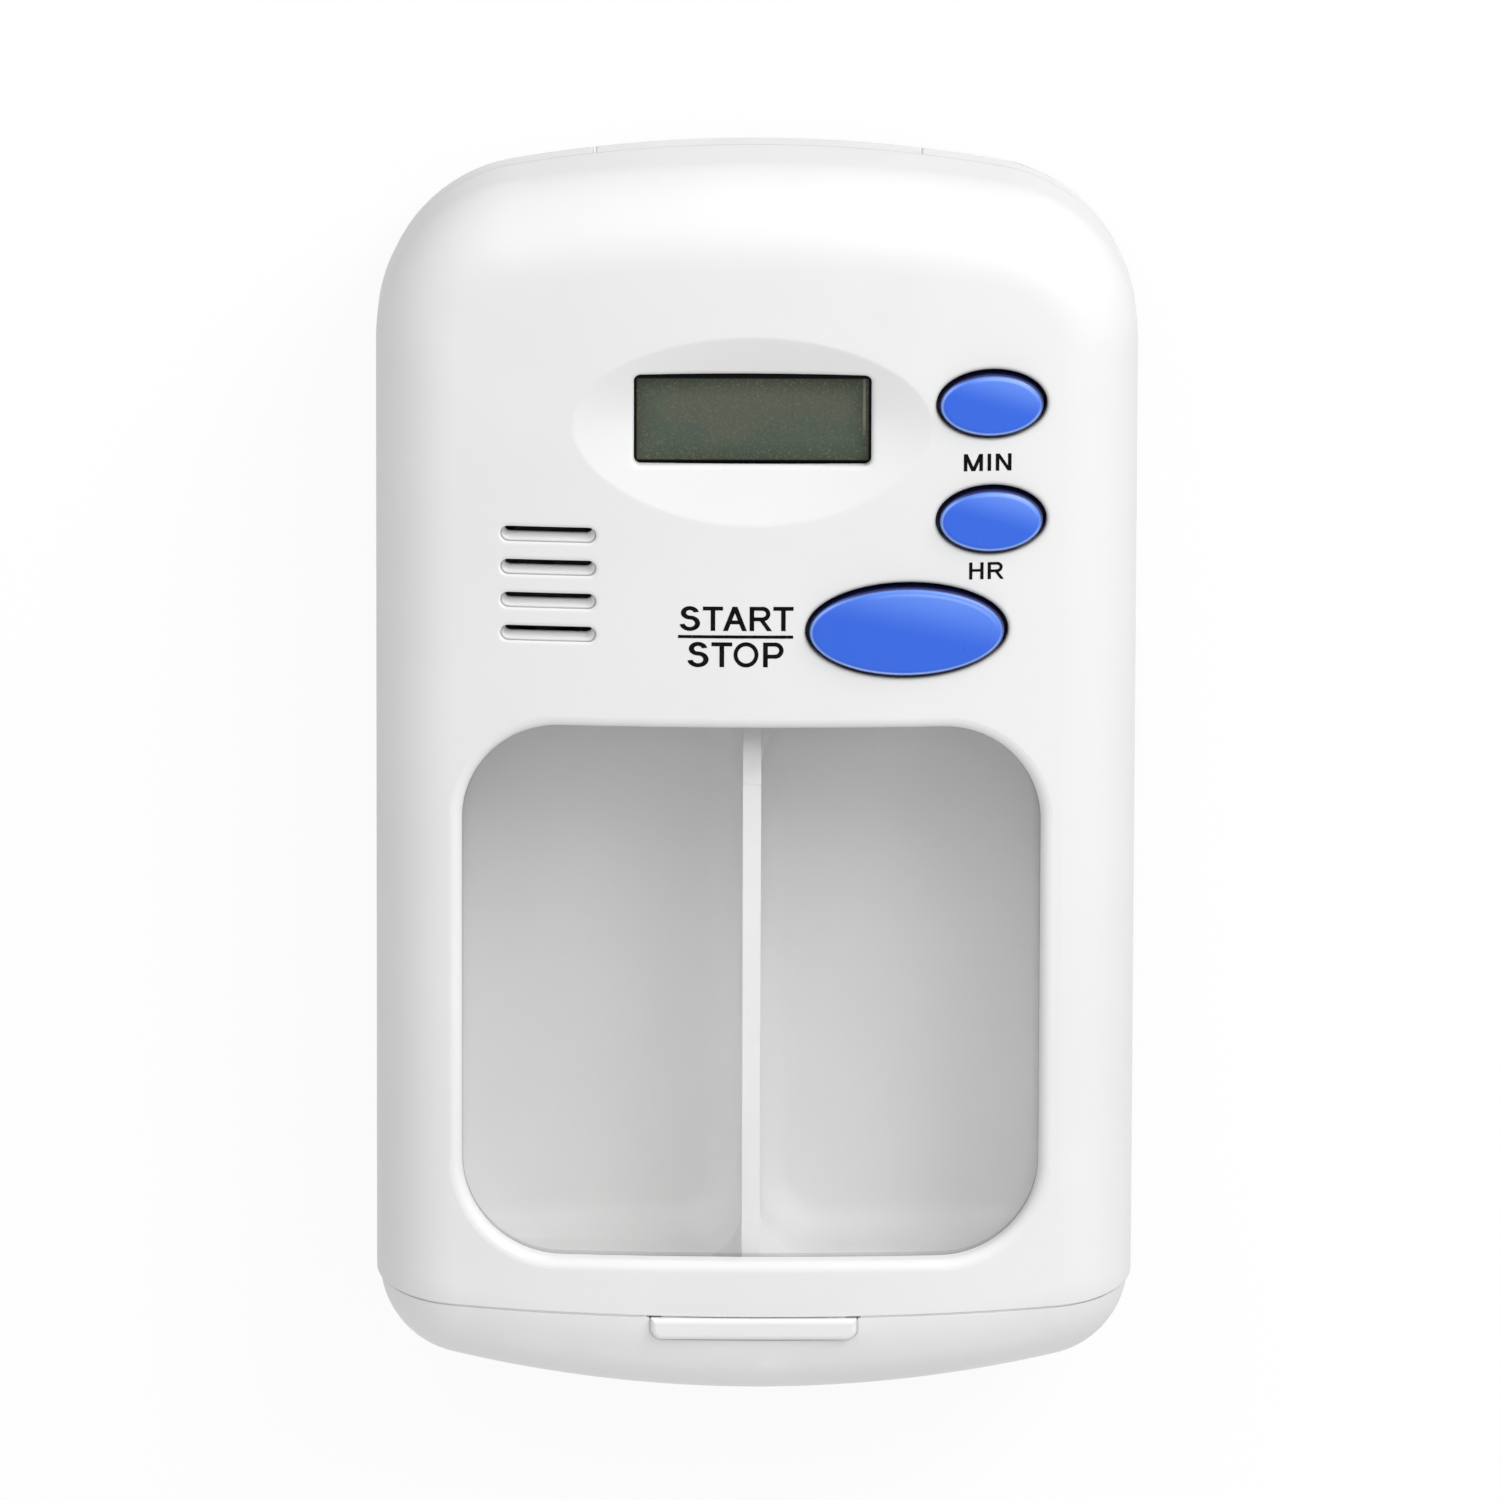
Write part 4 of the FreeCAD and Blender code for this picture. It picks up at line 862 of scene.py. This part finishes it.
@dataclass(frozen=True)
class Bar:
    """A straight stroke of a letter, with ends cut along the direction across it."""

    start: Point
    end: Point
    across: Point

    def draw(self, mesh: Mesh) -> None:
        """Add the stroke to a flat mesh.

        Args:
            mesh: The word's mesh.
        """
        run = Vector(self.end) - Vector(self.start)
        middle = (Vector(self.start) + Vector(self.end)) / 2
        place = Matrix.Translation(middle.to_3d()) @ Matrix(
            ((self.across[0], run.x, 0.0), (self.across[1], run.y, 0.0), (0.0, 0.0, 1.0))).to_4x4()
        bmesh.ops.create_grid(mesh, x_segments=1, y_segments=1, size=0.5, matrix=place)


@dataclass(frozen=True)
class Arc:
    """A bowed stroke of a letter: part of a ring, stretched along X."""

    centre: Point
    radius: float
    weight: float
    start: float
    sweep: float
    stretch: float = 1.0
    steps: int = 28

    def draw(self, mesh: Mesh) -> None:
        """Add the stroke to a flat mesh.

        Args:
            mesh: The word's mesh.
        """
        known = len(mesh.verts)
        turn = Matrix.Rotation(math.radians(self.start), 4, "Z")
        ends = []
        for reach in (self.radius - self.weight / 2, self.radius + self.weight / 2):
            ends += bmesh.ops.create_vert(mesh, co=turn @ Vector((reach, 0.0, 0.0)))["vert"]
        edge = bmesh.ops.contextual_create(mesh, geom=ends)["edges"]
        bmesh.ops.spin(mesh, geom=ends + edge, cent=(0.0, 0.0, 0.0), axis=(0.0, 0.0, 1.0),
                       angle=math.radians(self.sweep), steps=self.steps, use_merge=self.sweep == FULL_TURN)
        mesh.verts.ensure_lookup_table()
        place = Matrix.Translation(Vector(self.centre).to_3d())
        place = place @ Matrix.Diagonal((self.stretch, 1.0, 1.0, 1.0))
        bmesh.ops.transform(mesh, matrix=place, verts=mesh.verts[known:])


@dataclass(frozen=True)
class Glyph:
    """A plain capital: its width, the space before and after it and its strokes, in cap heights."""

    width: float
    before: float
    after: float
    strokes: tuple[Bar | Arc, ...]


class Capitals:
    """Plain capitals for the legends, with upright stems and slightly thinner level strokes."""

    STEM = 0.178
    LEVEL = 0.158
    SLANT = 0.192
    ROUND = 0.163
    CURVE = 0.16
    WIDTHS = {"A": 0.936, "H": 0.785, "I": STEM, "M": 0.956, "N": 0.788, "O": 0.951, "P": 0.770, "R": 0.880,
              "S": 0.805, "T": 0.793}

    @classmethod
    def stem(cls, x: float) -> Bar:
        """Give an upright stroke of full height."""
        return Bar((x, 0.0), (x, 1.0), (cls.STEM, 0.0))

    @classmethod
    def level(cls, first: float, last: float, y: float) -> Bar:
        """Give a level stroke."""
        return Bar((first, y), (last, y), (0.0, cls.LEVEL))

    @classmethod
    def slant(cls, first: Point, last: Point) -> Bar:
        """Give a leaning stroke with level ends."""
        return Bar(first, last, (cls.SLANT, 0.0))

    @classmethod
    def bowl(cls, x: float, low: float) -> tuple[Bar, Bar, Arc]:
        """Give the round part of a P or an R.

        Args:
            x: Where the level strokes end and the bow starts.
            low: The height of the lower level stroke.

        Returns:
            The two level strokes and the bow.
        """
        high = 1.0 - cls.LEVEL / 2
        bow = Arc((x, (low + high) / 2), (high - low) / 2, (cls.STEM + cls.LEVEL) / 2, -90.0, 180.0)
        return cls.level(0.0, x, high), cls.level(0.0, x, low), bow

    @classmethod
    def glyphs(cls) -> dict[str, Glyph]:
        """Give the letters that the legends need.

        Returns:
            Each letter's glyph.
        """
        half, lean, top = cls.STEM / 2, cls.SLANT / 2, 1.0 - cls.LEVEL / 2
        wide, middle = cls.WIDTHS, {letter: width / 2 for letter, width in cls.WIDTHS.items()}
        return {
            "A": Glyph(wide["A"], 0.0, 0.0, (
                cls.slant((lean, 0.0), (middle["A"], 1.0)),
                cls.slant((wide["A"] - lean, 0.0), (middle["A"], 1.0)),
                cls.level(0.21, wide["A"] - 0.21, 0.355))),
            "H": Glyph(wide["H"], 0.112, 0.112, (
                cls.stem(half), cls.stem(wide["H"] - half), cls.level(half, wide["H"] - half, 0.53))),
            "I": Glyph(wide["I"], 0.125, 0.125, (cls.stem(half),)),
            "M": Glyph(wide["M"], 0.104, 0.104, (
                cls.stem(half), cls.stem(wide["M"] - half), cls.slant((lean, 1.0), (middle["M"], 0.0)),
                cls.slant((wide["M"] - lean, 1.0), (middle["M"], 0.0)))),
            "N": Glyph(wide["N"], 0.106, 0.115, (
                cls.stem(half), cls.stem(wide["N"] - half),
                cls.slant((lean, 1.0), (wide["N"] - lean, 0.0)))),
            "O": Glyph(wide["O"], 0.050, 0.068, (
                Arc((middle["O"], 0.5), 0.43, cls.ROUND, 0.0, FULL_TURN, 0.93),)),
            "P": Glyph(wide["P"], 0.108, 0.059, (cls.stem(half), *cls.bowl(0.45, 0.43))),
            "R": Glyph(wide["R"], 0.110, 0.018, (
                cls.stem(half), *cls.bowl(0.51, 0.485), cls.slant((0.45, 0.485), (wide["R"] - lean, 0.0)))),
            "S": Glyph(wide["S"], 0.063, 0.064, (
                Arc((0.39, 0.737), 0.195, cls.CURVE, 8.0, 262.0, 1.28),
                Arc((0.39, 0.305), 0.237, cls.CURVE, 90.0, -262.0, 1.28))),
            "T": Glyph(wide["T"], 0.033, 0.0, (
                cls.level(0.0, wide["T"], top),
                Bar((middle["T"], 0.0), (middle["T"], top), (cls.STEM, 0.0)))),
        }


@dataclass
class Legend:
    """One line of generic print beside a button.

    The place is measured from the middle of the button that the print belongs to.
    """

    name: str
    words: str
    button: str
    offset: Point
    width: float
    height: float
    rule_steps: int = 16

    def letters(self) -> Mesh:
        """Make the words as a flat mesh that fills the print's width and height, about the origin.

        Returns:
            The letters' mesh.
        """
        glyphs = Capitals.glyphs()
        mesh = bmesh.new()
        pen = 0.0
        for letter in self.words:
            glyph = glyphs[letter]
            known = len(mesh.verts)
            for stroke in glyph.strokes:
                stroke.draw(mesh)
            mesh.verts.ensure_lookup_table()
            bmesh.ops.translate(mesh, vec=(pen + glyph.before, 0.0, 0.0), verts=mesh.verts[known:])
            pen += glyph.before + glyph.width + glyph.after
        low = Vector(map(min, *(vert.co for vert in mesh.verts)))
        high = Vector(map(max, *(vert.co for vert in mesh.verts)))
        size = high - low
        bmesh.ops.translate(mesh, vec=-(low + high) / 2, verts=mesh.verts)
        bmesh.ops.scale(mesh, vec=(self.width / size.x, self.height / size.y, 1.0), verts=mesh.verts)
        return mesh

    def bar(self) -> Mesh:
        """Make a plain rule of the print's width and height, about the origin.

        Returns:
            The rule's mesh.
        """
        mesh = bmesh.new()
        bmesh.ops.create_grid(mesh, x_segments=self.rule_steps, y_segments=1, size=0.5)
        bmesh.ops.scale(mesh, vec=(self.width, self.height, 1.0), verts=mesh.verts)
        return mesh


@dataclass
class SounderGrille:
    """Slots over the sounder, each with a sill that slopes in to a narrow throat near its upper edge."""

    sounder: str = "buzzer"
    slots: int = 4
    pitch: float = 2.48 * MM
    length: float = 7.0 * MM
    height: float = 1.15 * MM
    wall_gap: float = 0.012 * MM
    throat_length: float = 6.4 * MM
    throat_height: float = 0.60 * MM
    throat_rise: float = 0.23 * MM
    sill_drop: float = 0.9 * MM
    throat_drop: float = 0.5 * MM
    rim_drop: float = 0.16 * MM
    crown_radius: float = 140.0 * MM
    segments: int = 48
    middle_band: float = 0.01

    def build(self) -> None:
        """Add one sill to each slot."""
        middle, _ = centre_and_reach(*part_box(self.sounder))
        for index in range(self.slots):
            rise = (index - (self.slots - 1) / 2) * self.pitch
            mesh = self.sill()
            bmesh.ops.translate(mesh, vec=(middle.x, middle.y + rise, CASE_FRONT), verts=mesh.verts)
            for vert in mesh.verts:
                vert.co.z += math.sqrt(self.crown_radius ** 2 - vert.co.x ** 2) - self.crown_radius
            piece_from(f"grille_sill_{index + 1}", mesh, Finishes.OUTER_WHITE, Body.COVER)

    def sill(self) -> Mesh:
        """Make one sill about the slot's middle, below the front's highest line.

        Returns:
            The sill's mesh, a closed ring.
        """
        mesh = bmesh.new()
        radius = self.height / 2 - self.wall_gap
        ring = bmesh.ops.create_circle(mesh, segments=self.segments, radius=radius)["verts"]
        for side in (-1.0, 1.0):
            ends = [vert for vert in ring if vert.co.x * side > radius * self.middle_band]
            bmesh.ops.translate(mesh, vec=(side * (self.length - self.height) / 2, 0.0, 0.0), verts=ends)
        bmesh.ops.translate(mesh, vec=(0.0, 0.0, -self.rim_drop), verts=ring)
        outer = mesh.edges[:]
        across = (self.throat_length / self.length, self.throat_height / self.height, 1.0)
        back = (1.0 / across[0], 1.0 / across[1], 1.0)
        edges = self.step(mesh, outer, across, (0.0, self.throat_rise, -self.sill_drop))
        edges = self.step(mesh, edges, (1.0, 1.0, 1.0), (0.0, 0.0, -self.throat_drop))
        edges = self.step(mesh, edges, (1.0, 1.0, 1.0), (0.0, -self.throat_rise, 0.0))
        last = list({vert for edge in edges for vert in edge.verts})
        bmesh.ops.scale(mesh, vec=back, verts=last)
        bmesh.ops.bridge_loops(mesh, edges=outer + edges)
        bmesh.ops.recalc_face_normals(mesh, faces=mesh.faces[:])
        return mesh

    @staticmethod
    def step(mesh: Mesh, edges: list[bmesh.types.BMEdge], scale: Size,
             shift: Size) -> list[bmesh.types.BMEdge]:
        """Draw a loop of edges out to a new loop.

        Args:
            mesh: The mesh that holds them.
            edges: The loop to start from.
            scale: How the new loop is scaled about the mesh's origin.
            shift: Where it is moved after that.

        Returns:
            The new loop.
        """
        drawn = bmesh.ops.extrude_edge_only(mesh, edges=edges)["geom"]
        verts = [item for item in drawn if isinstance(item, bmesh.types.BMVert)]
        bmesh.ops.scale(mesh, vec=scale, verts=verts)
        bmesh.ops.translate(mesh, vec=shift, verts=verts)
        fresh = set(verts)
        return [item for item in drawn if isinstance(item, bmesh.types.BMEdge)
                and item.verts[0] in fresh and item.verts[1] in fresh]


@dataclass
class FrontCover:
    """Hinged front of the case with its window, printed legends and inner parts."""

    shell: str = "front_cover"
    pane: str = "window_pane"
    pane_margin: float = 1.0 * MM
    pane_fall: float = 0.10 * MM
    ink_thickness: float = 0.012 * MM
    ink_lift: float = 0.006 * MM
    legends: list[Legend] = field(default_factory=lambda: [
        Legend("legend_minute", "MIN", "minute_button", (-0.28 * MM, -4.33 * MM), 3.5 * MM, 1.28 * MM),
        Legend("legend_hour", "HR", "hour_button", (-0.32 * MM, -3.80 * MM), 2.55 * MM, 1.28 * MM),
        Legend("legend_start", "START", "start_stop_button", (-12.48 * MM, 0.94 * MM), 8.35 * MM, 1.86 * MM),
        Legend("legend_rule", "", "start_stop_button", (-12.55 * MM, -0.42 * MM), 8.45 * MM, 0.23 * MM),
        Legend("legend_stop", "STOP", "start_stop_button", (-12.55 * MM, -1.76 * MM), 7.05 * MM, 1.90 * MM),
    ])

    def build(self) -> None:
        """Lay the legends on the crowned front."""
        surface = surface_of(self.shell)
        for legend in self.legends:
            mesh = legend.letters() if legend.words else legend.bar()
            middle, _ = centre_and_reach(*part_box(legend.button))
            bmesh.ops.translate(mesh, vec=(middle.x + legend.offset[0], middle.y + legend.offset[1], 0.0),
                                verts=mesh.verts)
            self.lay(mesh, surface)
            piece_from(legend.name, mesh, Finishes.INK, Body.COVER)

    def lay(self, mesh: Mesh, surface: BVHTree) -> None:
        """Bend flat print onto the cover and give it the ink's thickness.

        Args:
            mesh: The flat print, in its place along X and Y.
            surface: The cover's surface.
        """
        for vert in mesh.verts:
            vert.co.z = height_at(surface, vert.co.x, vert.co.y) + self.ink_lift
        thicken(mesh, (0.0, 0.0, self.ink_thickness))

    def dress(self) -> None:
        """Paint the cover and its pane, whose edge line lies a little low in the opening."""
        paint(self.shell, Finishes.OUTER_WHITE)
        middle, reach = centre_and_reach(*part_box(self.pane))
        middle.y -= self.pane_fall
        half = (reach.x - self.pane_margin, reach.y - self.pane_margin - self.pane_fall, reach.z)
        paint(self.pane, ClearPane("window_clear", tuple(middle), half))


@dataclass
class ButtonKey:
    """A push button on its plunger."""

    cap: str
    plunger: str
    flange_margin: float = 0.88 * MM

    def dress(self) -> None:
        """Paint the cap with tints centred on it, and the plunger."""
        middle, reach = centre_and_reach(*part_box(self.cap))
        inner = Vector((reach.x - self.flange_margin, reach.y - self.flange_margin, reach.z))
        paint(self.cap, ButtonPlastic(self.cap + "_blue", tuple(middle), tuple(inner)))
        paint(self.plunger, Finishes.PLUNGER_WHITE)


@dataclass
class DisplayUnit:
    """Display glass with its reflector, holder and contact strips."""

    glass: str = "lcd_panel"
    covered_edge: float = 1.8 * MM
    border_fall: float = 0.16 * MM

    def dress(self) -> None:
        """Paint the glass, with its border a little low in the opening, and the parts behind it."""
        middle, reach = centre_and_reach(*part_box(self.glass))
        middle.y -= self.border_fall
        paint(self.glass, DisplayGlass("display_grey_green", tuple(middle), reach.x - self.covered_edge,
                                       reach.y - self.covered_edge - self.border_fall))
        paint("lcd_reflector", Finishes.FOIL)
        paint("lcd_holder", Finishes.HOLDER_WHITE)
        paint("zebra_strips", Finishes.RUBBER)


@dataclass
class Electronics:
    """Circuit board, what is soldered to it, the cells and the cover over them."""

    finishes: dict[str, Finish] = field(default_factory=lambda: {
        "main_board": Finishes.BOARD,
        "controller_blob": Finishes.RESIN,
        "timing_crystal": Finishes.NICKEL,
        "buzzer": Finishes.RESIN,
        "switch_housings": Finishes.RESIN,
        "battery_cells": Finishes.NICKEL,
        "battery_contacts": Finishes.BRASS,
        "battery_link": Finishes.NICKEL,
        "battery_door": Finishes.INNER_WHITE,
        "battery_door_screw": Finishes.STEEL,
        "inner_cover": Finishes.INNER_WHITE,
        "inner_cover_screws": Finishes.STEEL,
        "board_screws": Finishes.STEEL,
    })

    def dress(self) -> None:
        """Paint each part."""
        for node, finish in self.finishes.items():
            paint(node, finish)


@dataclass(frozen=True)
class Softbox:
    """A round soft lamp that faces the object.

    The level is the light that it gives a white surface facing it.
    """

    name: str
    direction: Size
    level: float
    size: float = 0.5
    distance: float = 0.9

    def hang(self, middle: Vector) -> None:
        """Add the lamp.

        Args:
            middle: The point that it faces.
        """
        direction = Vector(self.direction).normalized()
        lamp = bpy.data.lights.new(self.name, "AREA")
        lamp.shape = "DISK"
        lamp.size = self.size
        lamp.energy = self.level * math.pi ** 2 * self.distance ** 2
        holder = stand(self.name, lamp)
        holder.location = middle + direction * self.distance
        holder.rotation_euler = direction.to_track_quat("Z", "Y").to_euler()


@dataclass
class Studio:
    """Floor, lights, surroundings and camera."""

    tilt: float = math.radians(13.0)
    roll: float = math.radians(0.19)
    distance: float = 1.42
    aim: Point = (-0.41 * MM, 1.24 * MM)
    middle: Size = (0.0, 0.0, 10.0 * MM)
    sensor: float = 36.0
    field_width: float = 110.95 * MM
    floor_reach: float = 4.0
    floor_gap: float = 0.05 * MM
    floor_tint: Colour = (0.42, 0.42, 0.42)
    shadow_share: float = 0.1
    ambient: float = 0.575
    before_bounce: float = 0.5
    clip_share: float = 10.0
    lamps: tuple[Softbox, ...] = (
        Softbox("key_high", (0.62, 0.66, 0.80), 0.32),
        Softbox("key_low", (0.60, 0.70, 0.34), 0.34),
        Softbox("cross_light", (-0.5, 0.7, 0.8), 0.15),
        Softbox("chin_light", (0.0, -1.0, 0.15), 0.20),
    )

    def build(self) -> None:
        """Set up the whole studio."""
        self.light_surroundings()
        self.lay_floor()
        for lamp in self.lamps:
            lamp.hang(Vector(self.middle))
        self.stand_camera()
        bpy.context.scene.view_settings.view_transform = "Standard"

    def seen(self, graph: Graph) -> Socket:
        """Give 1 for rays that show the background, and 0 for rays that light the object.

        Args:
            graph: The material's graph.

        Returns:
            The switch's socket.
        """
        path = graph.add("ShaderNodeLightPath").outputs
        mirrored = graph.combine("MAXIMUM", path["Is Glossy Ray"], path["Is Transmission Ray"])
        straight = graph.combine("MAXIMUM", path["Is Camera Ray"], mirrored)
        direct = graph.combine("LESS_THAN", path["Diffuse Depth"], self.before_bounce)
        return graph.combine("MULTIPLY", straight, direct)

    def light_surroundings(self) -> None:
        """Even grey light from all round, which shows as white."""
        world = bpy.data.worlds.new("studio")
        bpy.context.scene.world = world
        world.use_nodes = True
        graph = Graph(world.node_tree)
        level = graph.between(self.seen(graph), 0.0, 1.0, self.ambient, 1.0)
        graph.fill(world.node_tree.nodes["Background"], {"Strength": level, "Color": opaque(WHITE)})

    def lay_floor(self) -> None:
        """A plain pale floor that shows white, keeps the shadow and is clear from below."""
        mesh = bmesh.new()
        bmesh.ops.create_grid(mesh, x_segments=1, y_segments=1, size=self.floor_reach)
        bmesh.ops.translate(mesh, vec=(0.0, 0.0, CAD_BOX[0].z - self.floor_gap), verts=mesh.verts)
        data = bpy.data.meshes.new("floor")
        mesh.to_mesh(data)
        mesh.free()
        floor = stand("floor", data)
        material = bpy.data.materials.new("pale_floor")
        material.use_nodes = True
        material.node_tree.nodes.clear()
        graph = Graph(material.node_tree)
        plain = graph.add("ShaderNodeBsdfDiffuse", {"Color": opaque(self.floor_tint)})
        caught = graph.add("ShaderNodeBsdfDiffuse", {"Color": opaque((self.shadow_share,) * 3)})
        glow = graph.add("ShaderNodeEmission", {"Color": opaque(WHITE), "Strength": 1.0 - self.shadow_share})
        white = graph.add("ShaderNodeAddShader", {0: caught.outputs[0], 1: glow.outputs[0]})
        both = graph.add("ShaderNodeMixShader", {
            0: self.seen(graph), 1: plain.outputs[0], 2: white.outputs[0]})
        below = graph.add("ShaderNodeNewGeometry").outputs["Backfacing"]
        clear = graph.add("ShaderNodeBsdfTransparent")
        sided = graph.add("ShaderNodeMixShader", {0: below, 1: both.outputs[0], 2: clear.outputs[0]})
        leave = graph.add("ShaderNodeOutputMaterial")
        graph.feed(leave.inputs["Surface"], sided.outputs[0])
        data.materials.append(material)

    def stand_camera(self) -> None:
        """A long lens above the front, tilted toward the hinge end."""
        lens = bpy.data.cameras.new("view")
        lens.sensor_width = self.sensor
        lens.lens = self.sensor * self.distance / self.field_width
        lens.clip_end = self.distance * self.clip_share
        camera = stand("view", lens)
        turn = Matrix.Rotation(-self.tilt, 3, "X") @ Matrix.Rotation(self.roll, 3, "Z")
        target = Vector(self.middle) + turn @ Vector((*self.aim, 0.0))
        camera.location = target + turn @ Vector((0.0, 0.0, self.distance))
        camera.rotation_euler = turn.to_euler()
        bpy.context.scene.camera = camera


def main() -> None:
    """Build and dress the organizer, piece by piece, and set it in the studio."""
    logging.basicConfig(level=logging.INFO, format="%(name)s: %(message)s")
    base = BaseTray()
    cover = FrontCover()
    keys = [ButtonKey(name + "_button", name + "_plunger") for name in ("minute", "hour", "start_stop")]
    steps: list[Callable[[], None]] = [
        base.build, base.dress, cover.build, cover.dress, SounderGrille().build,
        *(key.dress for key in keys), DisplayUnit().dress, Electronics().dress, Studio().build]
    for step in steps:
        step()


if __name__ == "__main__":
    main()
